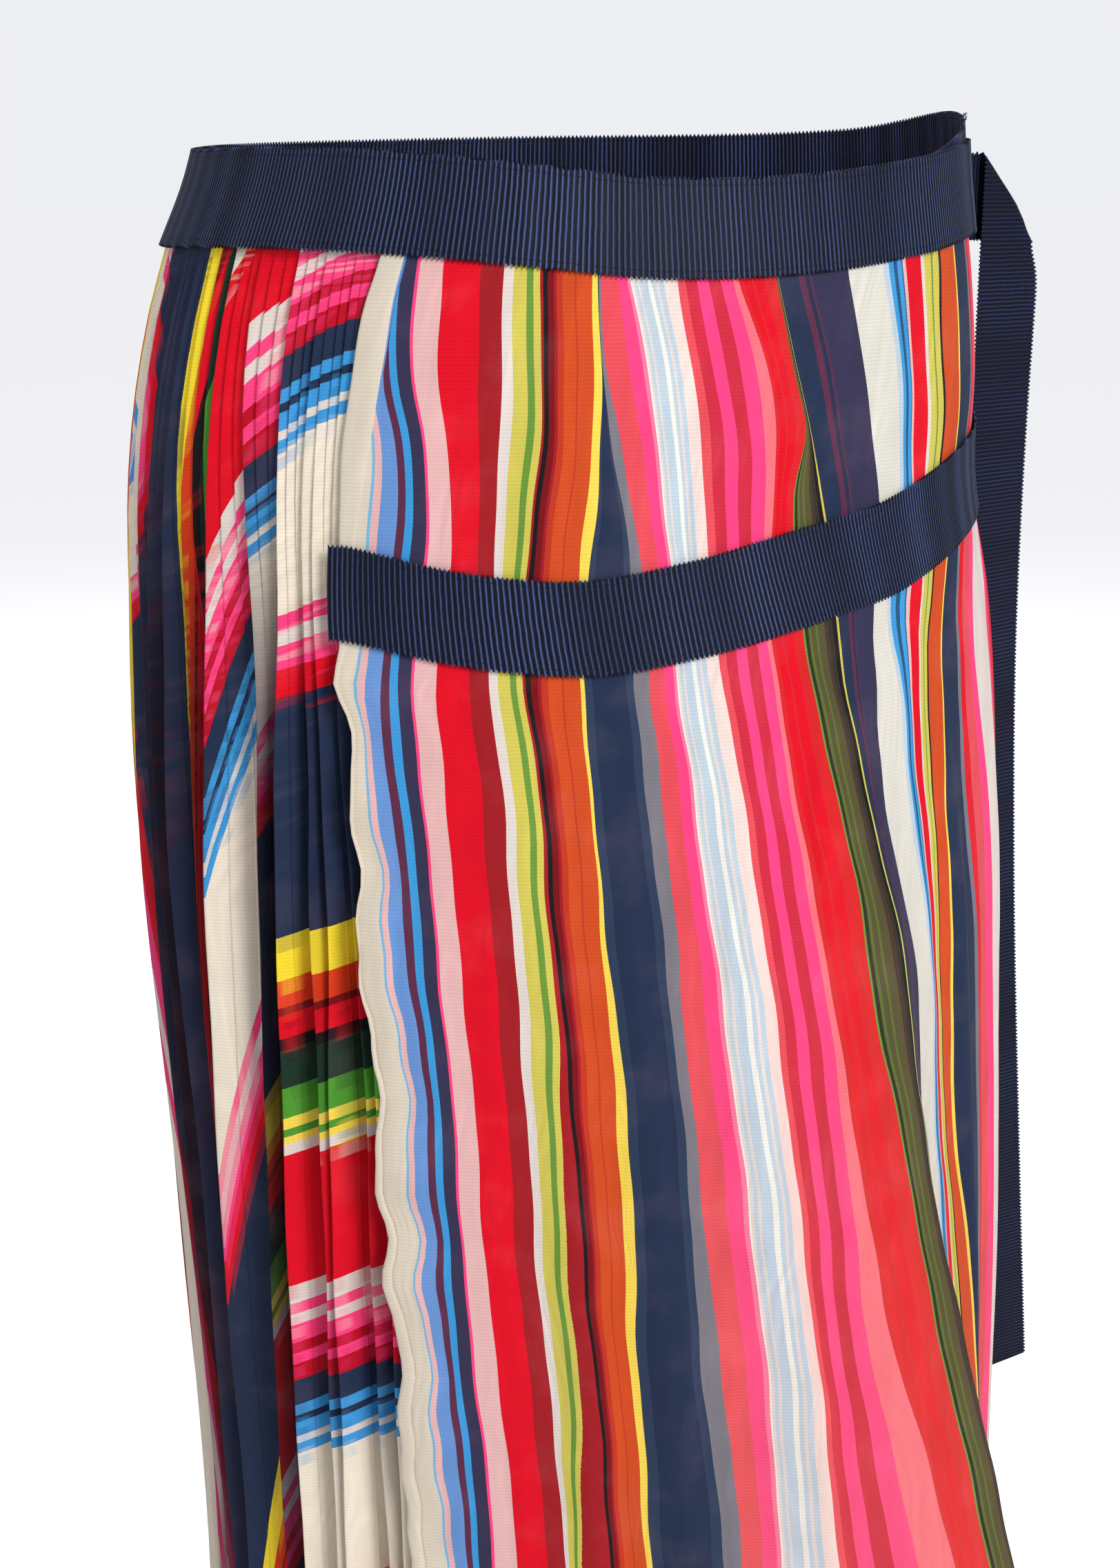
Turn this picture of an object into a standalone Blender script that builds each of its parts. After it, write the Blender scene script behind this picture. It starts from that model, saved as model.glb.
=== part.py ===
"""Wrap skirt of striped chiffon, worn: a sunburst-pleated skirt under a flat front overlay.

Metres, +Z up. The wearer faces -Y, so +X is the wearer's left. The origin is the middle of the
waistband's height at the centre of the waist. Angles go round the waist from the front centre,
positive towards the wearer's left. Every piece lies on one body form and is moved out from it
by the cloth below it.
"""

import bpy
import numpy as np

HEM = -0.925
BAND_HEIGHT = 0.0345
CLOTH = 0.0012
RIBBON = 0.0015
SEAM_GAP = 0.0003
LAYER_GAP = 0.0008
PLEAT_WALL = 0.0010
PLEAT_PITCH = 0.0055
UNDERLAP_END = -18.0
SIDE_SEAM = 92.0
BACK_SEAM = 180.0
TOP_TUCK = 0.010
HIP_HEIGHT = -0.150
OVERLAY_COLUMNS = 61
SEAM_BLEND = 0.12

# The form that the cloth hangs on: half widths to the wearer's right and left, half depths
BODY = np.array(
    [
        (-0.960, 0.175, 0.2015, 0.153, 0.158),
        (-0.750, 0.171, 0.1930, 0.148, 0.152),
        (-0.570, 0.166, 0.1860, 0.143, 0.148),
        (-0.450, 0.171, 0.1840, 0.141, 0.146),
        (-0.350, 0.176, 0.1800, 0.138, 0.143),
        (-0.240, 0.181, 0.1785, 0.133, 0.139),
        (-0.150, 0.1825, 0.1710, 0.127, 0.134),
        (-0.100, 0.1820, 0.1615, 0.1235, 0.129),
        (-0.055, 0.1765, 0.1630, 0.1195, 0.123),
        (-0.018, 0.1680, 0.1615, 0.1140, 0.116),
        (0.018, 0.1530, 0.1570, 0.1075, 0.110),
        (0.050, 0.1440, 0.1540, 0.1040, 0.107),
    ],
    dtype=[(name, float) for name in ("height", "right", "left", "front", "back")],
)

# How far the pleats stand out from the form
PLEATS = np.array(
    [
        (-0.960, 0.0058),
        (-0.400, 0.0050),
        (-0.150, 0.0040),
        (-0.060, 0.0024),
        (-0.015, 0.0011),
        (0.050, 0.0008),
    ],
    dtype=[("height", float), ("depth", float)],
)

# The waistband's top edge along its ribbon, from the front end at the wearer's left side,
# round the front, right side and back, to the inner end under the front end
WAIST_TOP = np.array(
    [
        (-312.0, 0.0260),
        (-295.0, 0.0360),
        (-276.0, 0.0430),
        (-240.0, 0.0370),
        (-180.0, 0.0340),
        (-120.0, 0.0300),
        (-85.0, 0.0275),
        (-60.0, 0.0285),
        (-37.0, 0.0270),
        (-15.0, 0.0218),
        (-4.0, 0.0185),
        (8.0, 0.0178),
        (25.0, 0.0200),
        (40.0, 0.0240),
        (60.0, 0.0300),
        (84.0, 0.0330),
    ],
    dtype=[("angle", float), ("height", float)],
)
FRONT_END = 84.0
INNER_END = -312.0
FRONT_END_LIFT = 0.0019
LIFT_START = 36.0
LIFT_RUN = 10.0

# The free edge of the overlay, which runs down the wearer's right thigh
FREE_EDGE = np.array(
    [
        (-0.960, -30.0),
        (-0.750, -31.0),
        (-0.620, -31.5),
        (-0.520, -32.4),
        (-0.460, -31.7),
        (-0.380, -33.2),
        (-0.310, -33.9),
        (-0.240, -35.8),
        (-0.190, -37.2),
        (-0.160, -39.0),
        (-0.110, -39.2),
        (-0.065, -37.6),
        (0.050, -38.0),
    ],
    dtype=[("height", float), ("angle", float)],
)

# The hip band's top edge
HIP_TOP = np.array(
    [
        (-45.0, -0.1085),
        (-39.0, -0.1105),
        (-26.0, -0.1185),
        (-12.0, -0.1225),
        (0.0, -0.1172),
        (15.0, -0.1086),
        (30.0, -0.1025),
        (42.0, -0.0945),
        (55.0, -0.0865),
        (75.0, -0.0785),
        (95.0, -0.0745),
    ],
    dtype=[("angle", float), ("height", float)],
)

# The crest of the big fold at the wearer's left front, and how far it stands out
FLUTE = np.array(
    [
        (-0.960, 54.0, 0.065),
        (-0.633, 45.0, 0.053),
        (-0.521, 40.0, 0.0355),
        (-0.383, 33.0, 0.0155),
        (-0.242, 26.0, 0.006),
        (-0.150, 17.0, 0.002),
        (-0.110, 14.0, 0.000),
        (0.050, 14.0, 0.000),
    ],
    dtype=[("height", float), ("angle", float), ("stand", float)],
)
FLUTE_SHARE = 0.4
FLUTE_RISE = 0.26
FLUTE_FALL = 0.067

# Soft folds of the overlay below the hip band: where they lie across it, how far they stand out
# at the hem, and the share of the width that they take on each side
FOLDS = np.array(
    [
        (0.1167, 0.0050, 0.035, 0.020),
        (0.1833, 0.0060, 0.038, 0.020),
        (0.2667, 0.0065, 0.045, 0.022),
        (0.3333, 0.0055, 0.045, 0.022),
        (0.5667, 0.0060, 0.060, 0.030),
        (0.7333, 0.0060, 0.060, 0.030),
        (0.8667, 0.0045, 0.050, 0.028),
    ],
    dtype=[(name, float) for name in ("share", "depth", "rise", "fall")],
)
FOLD_START = -0.130

TIE_WIDTH = 0.036
TIE_THICK = 0.0012
TIE_START = 104.0
TIE_LEG = 0.030
TIE_FIRST_TURN = -70.5
TIE_LAST_TURN = 18.0
TIE_TOP = 0.0255
TIE_LENGTH = 0.5915
TIE_SLANT = 0.003
TIE_GAP = 0.00055
TIE_ROLL = 0.0011

# The hanging tie: how far its middle moves towards +X and +Y, and how far it turns
TIE_HANG = np.array(
    [
        (-0.590, 0.0245, -0.0100, -8.0),
        (-0.450, 0.0140, -0.0080, -4.0),
        (-0.300, 0.0045, -0.0060, 3.0),
        (-0.190, 0.0000, -0.0050, 7.0),
        (-0.100, -0.0015, -0.0030, 3.0),
        (-0.030, -0.0005, 0.0000, 1.0),
        (0.050, 0.0000, 0.0000, 0.0),
    ],
    dtype=[(name, float) for name in ("height", "east", "north", "turn")],
)

EYE_ANGLE = 77.0
EYE_WIRE = 0.0004
EYE_HALF_WIDTH = 0.0036
EYE_HALF_HEIGHT = 0.0022


def smooth(at, xs, ys):
    """A cubic curve through the points (xs, ys), with the slope at each taken from its neighbours."""
    at = np.clip(at, xs[0], xs[-1])
    slope = np.gradient(ys, xs)
    i = np.clip(np.searchsorted(xs, at, side="right") - 1, 0, len(xs) - 2)
    step = xs[i + 1] - xs[i]
    t = (at - xs[i]) / step
    start = (1 + 2 * t) * (1 - t) ** 2 * ys[i] + t * (1 - t) ** 2 * slope[i] * step
    end = t**2 * (3 - 2 * t) * ys[i + 1] - t**2 * (1 - t) * slope[i + 1] * step
    return start + end


def ease(t):
    """0 below t = 0, 1 above t = 1, and a smooth step between."""
    t = np.clip(t, 0.0, 1.0)
    return t * t * (3 - 2 * t)


def on_body(angle, height, out):
    """Points of the body form at these angles in degrees and heights, moved out level."""
    turn = np.radians(angle)
    right, left, front, back = (
        smooth(height, BODY["height"], BODY[side]) for side in ("right", "left", "front", "back")
    )
    wide = np.where(np.sin(turn) > 0, left, right)
    deep = np.where(np.cos(turn) > 0, front, back)
    x = wide * np.sin(turn)
    y = -deep * np.cos(turn)
    across = deep * np.sin(turn)
    along = -wide * np.cos(turn)
    length = np.hypot(across, along)
    return np.stack([x + out * across / length, y + out * along / length, height + 0 * x], axis=-1)


def even_angles(start, end, count):
    """Angles from start to end that are evenly spaced along the hip."""
    fine = np.linspace(start, end, 2000)
    hip = on_body(fine, np.full_like(fine, HIP_HEIGHT), 0.0)
    run = np.concatenate([[0.0], np.cumsum(np.linalg.norm(np.diff(hip, axis=0), axis=1))])
    return np.interp(np.linspace(0.0, run[-1], count), run, fine), run[-1]


def pleat_depth(height):
    return smooth(height, PLEATS["height"], PLEATS["depth"])


def pleat_wall(height):
    """The level thickness that leaves PLEAT_WALL square to the pleat's sloping faces."""
    return PLEAT_WALL * np.hypot(1.0, pleat_depth(height) / (PLEAT_PITCH / 2))


def over_pleats(height):
    """How far out the overlay lies: just past the pleats."""
    return pleat_depth(height) + pleat_wall(height) + LAYER_GAP


def ridge(share, crest, rise, fall):
    """1 on the crest, falling smoothly to 0 over rise before it and fall after it."""
    before = ease(1 + (share - crest) / rise)
    after = ease(1 - (share - crest) / fall)
    return np.where(share < crest, before, after)


def overlay_out(share, height):
    """The overlay's inner face, from the body form: past the pleats, down to their foot at the side
    seam, with its folds standing out."""
    flute = smooth(height, FLUTE["height"], FLUTE["stand"])
    out = over_pleats(height) * ease((1 - share) / SEAM_BLEND)
    out = out + flute * ridge(share, FLUTE_SHARE, FLUTE_RISE, FLUTE_FALL)
    down = np.clip((FOLD_START - height) / (FOLD_START - HEM), 0.0, 1.0)
    for fold in FOLDS:
        out = out + fold["depth"] * ease(3.0 * down) * ridge(share, fold["share"], fold["rise"], fold["fall"])
    return out


def overlay_angle(share, height):
    """The overlay's grain lines: they run from the waist to the hem and turn with the big fold."""
    left = smooth(height, FREE_EDGE["height"], FREE_EDGE["angle"])
    crest = smooth(height, FLUTE["height"], FLUTE["angle"])
    before = left + (crest - left) * share / FLUTE_SHARE
    after = crest + (SIDE_SEAM - crest) * (share - FLUTE_SHARE) / (1 - FLUTE_SHARE)
    return np.where(share < FLUTE_SHARE, before, after)


def waist_top(path):
    return smooth(path, WAIST_TOP["angle"], WAIST_TOP["height"])


def material(name, colour, roughness, metallic=0.0):
    made = bpy.data.materials.new(name)
    made.use_nodes = True
    shader = made.node_tree.nodes["Principled BSDF"]
    shader.inputs["Base Color"].default_value = (*colour, 1.0)
    shader.inputs["Roughness"].default_value = roughness
    shader.inputs["Metallic"].default_value = metallic
    made.diffuse_color = (*colour, 1.0)
    return made


def add_mesh(name, points, faces, look):
    mesh = bpy.data.meshes.new(name)
    mesh.from_pydata(points.tolist(), [], faces.tolist())
    mesh.update()
    mesh.shade_smooth()
    mesh.set_sharp_from_angle(angle=np.radians(40))
    mesh.materials.append(look)
    made = bpy.data.objects.new(name, mesh)
    bpy.context.scene.collection.objects.link(made)
    return made


def quads(a, b, c, d):
    return np.stack([a, b, c, d], axis=-1).reshape(-1, 4)


def wall(name, outer, inner, look):
    """A closed wall between two grids of points. Rows go up, columns go round to the wearer's left."""
    rows, columns = outer.shape[:2]
    out = np.arange(rows * columns).reshape(rows, columns)
    back = out + rows * columns
    faces = [
        quads(out[:-1, :-1], out[:-1, 1:], out[1:, 1:], out[1:, :-1]),
        quads(back[:-1, :-1], back[1:, :-1], back[1:, 1:], back[:-1, 1:]),
        quads(out[0, 1:], out[0, :-1], back[0, :-1], back[0, 1:]),
        quads(out[-1, :-1], out[-1, 1:], back[-1, 1:], back[-1, :-1]),
        quads(out[:-1, 0], out[1:, 0], back[1:, 0], back[:-1, 0]),
        quads(out[1:, -1], out[:-1, -1], back[:-1, -1], back[1:, -1]),
    ]
    points = np.concatenate([outer.reshape(-1, 3), inner.reshape(-1, 3)])
    return add_mesh(name, points, np.concatenate(faces), look)


def waistband(look):
    """One ribbon round the waist whose inner end runs on under its front end."""
    path = np.linspace(INNER_END, FRONT_END, 90)
    top = waist_top(path)
    share = np.linspace(0.0, 1.0, 3)[:, None]
    height = top - BAND_HEIGHT * (1 - share)
    plain = over_pleats(0.0) + CLOTH + SEAM_GAP
    out = plain + FRONT_END_LIFT * ease((path - LIFT_START) / LIFT_RUN) + 0 * height
    angle = path + 0 * height
    outer = on_body(angle, height, out + RIBBON)
    return wall("waistband", outer, on_body(angle, height, out), look)


def pleated_panel(name, start, end, look):
    """Accordion pleats between two angles: columns alternate between valley and crest."""
    run = even_angles(start, end, 2)[1]
    count = round(run / PLEAT_PITCH)
    angle = even_angles(start, end, 2 * count + 1)[0]
    crest = np.arange(2 * count + 1) % 2
    under_band = waist_top(np.where(angle > FRONT_END, angle - 360.0, angle)) - BAND_HEIGHT + TOP_TUCK
    plain_rows = np.array([HEM, -0.750, -0.570, -0.420, -0.280, -0.170, -0.100, -0.050])[:, None]
    height = np.concatenate([plain_rows + 0 * under_band, under_band[None]])
    out = pleat_depth(height) * crest
    angle = angle + 0 * height
    outer = on_body(angle, height, out + pleat_wall(height))
    return wall(name, outer, on_body(angle, height, out), look)


def overlay_grid(levels):
    """Shares across the overlay and heights, at levels from 0 at the hem, through 1 and 2 at the
    hip band's lower and upper edges, to 3 inside the waistband."""
    share = np.linspace(0.0, 1.0, OVERLAY_COLUMNS)
    rough = overlay_angle(share, HIP_TOP["height"].mean())
    hip_top = smooth(rough, HIP_TOP["angle"], HIP_TOP["height"])
    waist = waist_top(np.minimum(rough, FRONT_END)) - BAND_HEIGHT + TOP_TUCK
    level = np.asarray(levels)[:, None]
    below = HEM + level * (hip_top - BAND_HEIGHT - HEM)
    band = hip_top + (level - 2) * BAND_HEIGHT
    yoke = hip_top + (level - 2) * (waist - hip_top)
    height = np.where(level < 1, below, np.where(level < 2, band, yoke))
    return share + 0 * height, height


def front_overlay(look):
    """The flat panel that crosses the front, from its free edge to the wearer's left side seam."""
    below = (0.0, 0.11, 0.225, 0.34, 0.456, 0.555, 0.649, 0.74, 0.829, 0.91)
    share, height = overlay_grid(below + (1.0, 1.5, 2.0, 2.5, 3.0))
    angle = overlay_angle(share, height)
    out = overlay_out(share, height)
    outer = on_body(angle, height, out + CLOTH)
    return wall("front_overlay", outer, on_body(angle, height, out), look)


def hip_band(look):
    """The second ribbon, sewn flat on the overlay from its free edge to the side seam."""
    share, height = overlay_grid((1.0, 1.5, 2.0))
    angle = overlay_angle(share, height)
    out = overlay_out(share, height) + CLOTH + SEAM_GAP
    outer = on_body(angle, height, out + RIBBON)
    return wall("hip_band", outer, on_body(angle, height, out), look)


def tie_plan(along):
    """The tie's course seen from above, at distances from where it folds down: an arc that leaves
    the waistband behind the left side and curls outward, then straight. It gives points and the
    side that the ribbon rolls to."""
    turn_rate = np.radians(TIE_FIRST_TURN - TIE_LAST_TURN) / TIE_LEG
    start = on_body(np.array([TIE_START]), np.array([0.0]), 0.0)[0]
    away = np.radians(TIE_FIRST_TURN)
    out = over_pleats(0.0) + CLOTH + SEAM_GAP + RIBBON + TIE_GAP + TIE_THICK / 2
    normal = np.array([-np.sin(away), np.cos(away)])
    start = start[:2] + out * normal

    def arc(travelled):
        bearing = away - turn_rate * travelled
        x = (np.sin(away) - np.sin(bearing)) / turn_rate
        y = (np.cos(bearing) - np.cos(away)) / turn_rate
        return start + np.stack([x, y], axis=-1), bearing

    points, bearing = arc(np.clip(along + TIE_LEG, 0.0, TIE_LEG))
    direction = np.stack([np.cos(bearing), np.sin(bearing)], axis=-1)
    points = points + direction * np.maximum(along, 0.0)[..., None]
    points = points + direction * np.minimum(along + TIE_LEG, 0.0)[..., None]
    side = np.stack([direction[..., 1], -direction[..., 0]], axis=-1)
    return points, side


def tie_point(across, along, lift):
    """Where a point of the flat ribbon lands. The ribbon starts on the waistband's slope, runs
    level, folds at 45 degrees and hangs. across goes from its lower to its upper edge, along is 0
    where the fold meets the upper edge, and lift moves off the ribbon's middle."""
    line = (along - (across - TIE_WIDTH)) / np.sqrt(2)
    past = (along + across - TIE_WIDTH) / np.sqrt(2)
    half_roll = TIE_ROLL * np.pi / 2
    bend = np.clip(past / TIE_ROLL, -np.pi / 2, np.pi / 2)
    reach = (TIE_ROLL + lift) * np.cos(bend) + np.where(
        np.abs(past) < half_roll, 0.0, half_roll - np.abs(past)
    )
    rolled = (TIE_ROLL + lift) * np.sin(bend) + TIE_ROLL
    level = (line + reach) / np.sqrt(2)
    rise = (reach - line) / np.sqrt(2)
    height = TIE_TOP + rise
    points, side = tie_plan(level)
    plan = points + side * rolled[..., None]
    middle = tie_plan(np.full_like(level, TIE_WIDTH / 2))[0]
    east, north, turn = (
        smooth(height, TIE_HANG["height"], TIE_HANG[name]) for name in ("east", "north", "turn")
    )
    swing = np.radians(turn)
    arm = plan - middle
    turned = np.stack(
        [
            arm[..., 0] * np.cos(swing) - arm[..., 1] * np.sin(swing),
            arm[..., 0] * np.sin(swing) + arm[..., 1] * np.cos(swing),
        ],
        axis=-1,
    )
    plan = middle + turned + np.stack([east, north], axis=-1)
    seated = ease(-level / TIE_LEG)[..., None]
    flare = on_body(np.full_like(height, TIE_START), height, 0.0) - on_body(TIE_START, 0.0, 0.0)
    plan = plan + seated * flare[..., :2]
    return np.concatenate([plan, height[..., None]], axis=-1)


def tie(look):
    """The ribbon that leaves the waistband behind the left side, folds and hangs."""
    before = np.linspace(-TIE_LEG - 0.012, -0.012, 9)
    fold = np.linspace(-0.006, 0.006, 9)
    after = np.concatenate([[0.012, 0.025, 0.045], np.linspace(0.075, TIE_LENGTH, 16)])
    distance = np.concatenate([before, fold, after])[:, None]
    across = np.linspace(0.0, TIE_WIDTH, 5)
    slanted = 1 - ease((np.abs(distance) - 0.010) / np.where(distance < 0, 0.032, 0.080))
    slant = TIE_SLANT * ease(distance / TIE_LENGTH) * across / TIE_WIDTH
    along = distance + (TIE_WIDTH - across) * slanted + slant
    across = across + 0 * along
    outer = tie_point(across, along, np.full_like(along, TIE_THICK / 2))
    inner = tie_point(across, along, np.full_like(along, -TIE_THICK / 2))
    return wall("tie", outer, inner, look)


def wire_eye(look):
    """A closed wire, narrow in its middle, sewn to the top of the waistband's inner end."""
    round_path = np.linspace(0.0, 2 * np.pi, 24, endpoint=False)
    wide = EYE_HALF_WIDTH * np.cos(round_path)
    tall = EYE_HALF_HEIGHT * np.sin(round_path) * (0.35 + 0.65 * np.abs(np.cos(round_path)))
    ring = np.linspace(0.0, 2 * np.pi, 6, endpoint=False)
    middle = np.stack([wide, tall], axis=-1)
    run = np.roll(middle, -1, axis=0) - np.roll(middle, 1, axis=0)
    normal = np.stack([run[:, 1], -run[:, 0]], axis=-1) / np.linalg.norm(run, axis=1, keepdims=True)
    flat = middle[:, None] + EYE_WIRE * np.cos(ring)[:, None] * normal[:, None]
    depth = EYE_WIRE * np.sin(ring) + 0 * flat[..., 0]
    path = EYE_ANGLE - 360.0
    height = waist_top(path) + EYE_HALF_HEIGHT * 0.2
    face = over_pleats(0.0) + CLOTH + SEAM_GAP + RIBBON + SEAM_GAP + EYE_WIRE
    spot, further = on_body(
        np.array([EYE_ANGLE, EYE_ANGLE]), np.full(2, height), np.array([face, face + 1.0])
    )
    outward = further - spot
    sideways = np.cross([0.0, 0.0, 1.0], outward)
    points = spot + flat[..., :1] * sideways + depth[..., None] * outward
    points[..., 2] += flat[..., 1]
    count = np.arange(24 * 6).reshape(24, 6)
    on = np.roll(count, -1, axis=0)
    faces = quads(count, on, np.roll(on, -1, axis=1), np.roll(count, -1, axis=1))
    return add_mesh("wire_eye", points.reshape(-1, 3), faces, look)


def main():
    for item in list(bpy.data.objects):
        bpy.data.objects.remove(item, do_unlink=True)
    ribbon = material("navy_ribbon", (0.012, 0.018, 0.055), 0.6)
    chiffon = material("striped_chiffon", (0.75, 0.03, 0.06), 0.75)
    pleated = material("pleated_chiffon", (0.55, 0.05, 0.08), 0.75)
    metal = material("plated_wire", (0.75, 0.75, 0.77), 0.25, 1.0)
    waistband(ribbon)
    gap = np.degrees(SEAM_GAP / BODY["left"].min())
    pleated_panel("pleated_right", -BACK_SEAM + gap, UNDERLAP_END, pleated)
    pleated_panel("pleated_left", SIDE_SEAM + gap, BACK_SEAM - gap, pleated)
    front_overlay(chiffon)
    hip_band(ribbon)
    tie(ribbon)
    wire_eye(metal)


main()
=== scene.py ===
"""Striped chiffon wrap skirt, worn: pleated skirt, flat front overlay, ribbed ribbons and tie.

Metres, +Z up, the wearer faces -Y. Angles go round the waist in degrees from the front centre,
positive towards the wearer's left. The body form and its tables are those of the solids.
"""

import bpy
import numpy as np
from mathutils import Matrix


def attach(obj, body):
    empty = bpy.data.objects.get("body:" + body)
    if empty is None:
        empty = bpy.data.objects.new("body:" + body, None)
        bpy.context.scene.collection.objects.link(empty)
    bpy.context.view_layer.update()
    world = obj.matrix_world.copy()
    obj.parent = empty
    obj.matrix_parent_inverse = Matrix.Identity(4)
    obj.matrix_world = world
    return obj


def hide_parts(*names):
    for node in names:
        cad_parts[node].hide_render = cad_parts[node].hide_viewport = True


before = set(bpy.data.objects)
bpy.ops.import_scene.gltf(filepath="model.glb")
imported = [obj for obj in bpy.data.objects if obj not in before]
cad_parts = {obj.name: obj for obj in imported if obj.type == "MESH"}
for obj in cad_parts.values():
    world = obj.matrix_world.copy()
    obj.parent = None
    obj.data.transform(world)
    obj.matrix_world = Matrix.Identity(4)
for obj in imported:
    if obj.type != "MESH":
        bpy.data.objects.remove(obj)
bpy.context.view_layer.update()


def columns(*rows):
    """The columns of a table that is written in rows."""
    return np.array(rows).T


HEM = -0.925
FLOOR = -0.928
FLOOR_REACH = 40.0
BAND_HEIGHT = 0.0345
CLOTH = 0.0012
RIBBON = 0.0015
SEAM_GAP = 0.0003
LAYER_GAP = 0.0008
PLEAT_WALL = 0.0010
PLEAT_PITCH = 0.0055
UNDERLAP_END = -18.0
SIDE_SEAM = 92.0
BACK_SEAM = 180.0
BACK_LAP = 0.03
TOP_TUCK = 0.010
SEAM_BLEND = 0.12
CHIFFON = 0.0004
GROSGRAIN = 0.0007

# The ribbons' ribs, scalloped edges and stitched lines
RIB = 0.0018
RIB_RISE = 0.00006
RIB_HEIGHT = 0.00010
# How narrow the painted highlight on each rib is
RIB_POWER = 4.5
PICOT = 0.0007
PICOT_SHARE = 0.02
STITCH_PITCH = 0.0027
STITCH_INSET = 0.0023
STITCH_WIDTH = 0.00035
STITCH_DEPTH = 0.00014

# The chiffon's threads and rings of moire, and how much of its clouds and streaks show
THREAD_PITCH = 0.0014
THREAD_HEIGHT = 0.00003
WARP_PITCH = 0.0011
WARP_HEIGHT = 0.00002
RING_RATE = 150.0
SHEER = 1.0

# The form that the cloth hangs on: height, half widths to the wearer's right and left, half depths
BODY = columns(
    (-0.960, 0.175, 0.2015, 0.153, 0.158),
    (-0.750, 0.171, 0.1930, 0.148, 0.152),
    (-0.570, 0.166, 0.1860, 0.143, 0.148),
    (-0.450, 0.171, 0.1840, 0.141, 0.146),
    (-0.350, 0.176, 0.1800, 0.138, 0.143),
    (-0.240, 0.181, 0.1785, 0.133, 0.139),
    (-0.150, 0.1825, 0.1710, 0.127, 0.134),
    (-0.100, 0.1820, 0.1615, 0.1235, 0.129),
    (-0.055, 0.1765, 0.1630, 0.1195, 0.123),
    (-0.018, 0.1680, 0.1615, 0.1140, 0.116),
    (0.018, 0.1530, 0.1570, 0.1075, 0.110),
    (0.050, 0.1440, 0.1540, 0.1040, 0.107),
)

# Height and how far the pleats stand out from the form
PLEATS = columns(
    (-0.960, 0.0058), (-0.400, 0.0050), (-0.150, 0.0040), (-0.060, 0.0024), (-0.015, 0.0011),
    (0.050, 0.0008),
)

# The waistband's top edge: angle along its ribbon and height
WAIST_TOP = columns(
    (-312.0, 0.0260), (-295.0, 0.0360), (-276.0, 0.0430), (-240.0, 0.0370), (-180.0, 0.0340),
    (-120.0, 0.0300), (-85.0, 0.0275), (-60.0, 0.0285), (-37.0, 0.0270), (-15.0, 0.0218),
    (-4.0, 0.0185), (8.0, 0.0178), (25.0, 0.0200), (40.0, 0.0240), (60.0, 0.0300),
    (84.0, 0.0330),
)
FRONT_END = 84.0
INNER_END = -312.0
FRONT_END_LIFT = 0.0019
LIFT_START = 36.0
LIFT_RUN = 10.0
BEHIND_START = 0.004
BEHIND_RUN = 0.007

# The overlay's free edge down the wearer's right thigh: height and angle
FREE_EDGE = columns(
    (-0.960, -30.0), (-0.750, -31.0), (-0.620, -31.5), (-0.520, -32.4), (-0.460, -31.7),
    (-0.380, -33.2), (-0.310, -33.9), (-0.240, -35.8), (-0.190, -37.2), (-0.160, -39.0),
    (-0.110, -39.2), (-0.065, -37.6), (0.050, -38.0),
)

# The hip band's top edge: angle and height
HIP_TOP = columns(
    (-45.0, -0.1085), (-39.0, -0.1105), (-26.0, -0.1185), (-12.0, -0.1225), (0.0, -0.1172),
    (15.0, -0.1086), (30.0, -0.1025), (42.0, -0.0945), (55.0, -0.0865), (75.0, -0.0785),
    (95.0, -0.0745),
)

# The big fold at the wearer's left front: height, angle of its crest, how far it stands out
FLUTE = columns(
    (-0.960, 54.0, 0.065), (-0.633, 45.0, 0.053), (-0.521, 40.0, 0.0355),
    (-0.383, 33.0, 0.0155), (-0.242, 26.0, 0.006), (-0.150, 17.0, 0.002), (-0.110, 14.0, 0.000),
    (0.050, 14.0, 0.000),
)
FLUTE_SHARE = 0.4
FLUTE_RISE = 0.26
FLUTE_FALL = 0.067

# Soft folds of the overlay: share across it, depth at the hem, shares taken before and after
FOLDS = (
    (0.1167, 0.0050, 0.035, 0.020),
    (0.1833, 0.0060, 0.038, 0.020),
    (0.2667, 0.0065, 0.045, 0.022),
    (0.3333, 0.0055, 0.045, 0.022),
    (0.5667, 0.0060, 0.060, 0.030),
    (0.7333, 0.0060, 0.060, 0.030),
    (0.8667, 0.0045, 0.050, 0.028),
)
FOLD_START = -0.130
FOLD_OPENING = 3.0

# How much further than the plain edge the narrow hem reaches, as a share across the overlay
HEM_REACH = columns(
    (-0.960, 0.021), (-0.512, 0.019), (-0.440, 0.022), (-0.367, 0.026), (-0.297, 0.025),
    (-0.228, 0.021), (-0.190, 0.014), (-0.160, 0.009), (-0.148, 0.008), (-0.135, 0.006),
    (-0.098, 0.009), (-0.073, 0.017), (-0.053, 0.016), (-0.025, 0.010), (-0.015, 0.003),
    (0.050, 0.002),
)

# The narrow hem: shares across it, its roll, and where it starts to wave
HEM_STEPS = np.array([0.0, 0.05, 0.13, 0.25, 0.40, 0.55, 0.70, 0.82, 0.92, 0.98, 1.0])
HEM_ROLL = 0.0004
HEM_ROLL_LOW = 0.0012
HEM_WAVE_TOP = -0.1455
HEM_WAVE_RUN = 0.014
RIPPLE_TURN = 0.13

# The share up to which the cloth beside the free edge is cream
CREAM_REACH = columns(
    (-0.960, 0.000), (-0.140, 0.000), (-0.100, 0.011), (-0.073, 0.011), (-0.053, 0.014),
    (-0.025, 0.021), (-0.015, 0.024), (0.050, 0.024),
)

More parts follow.
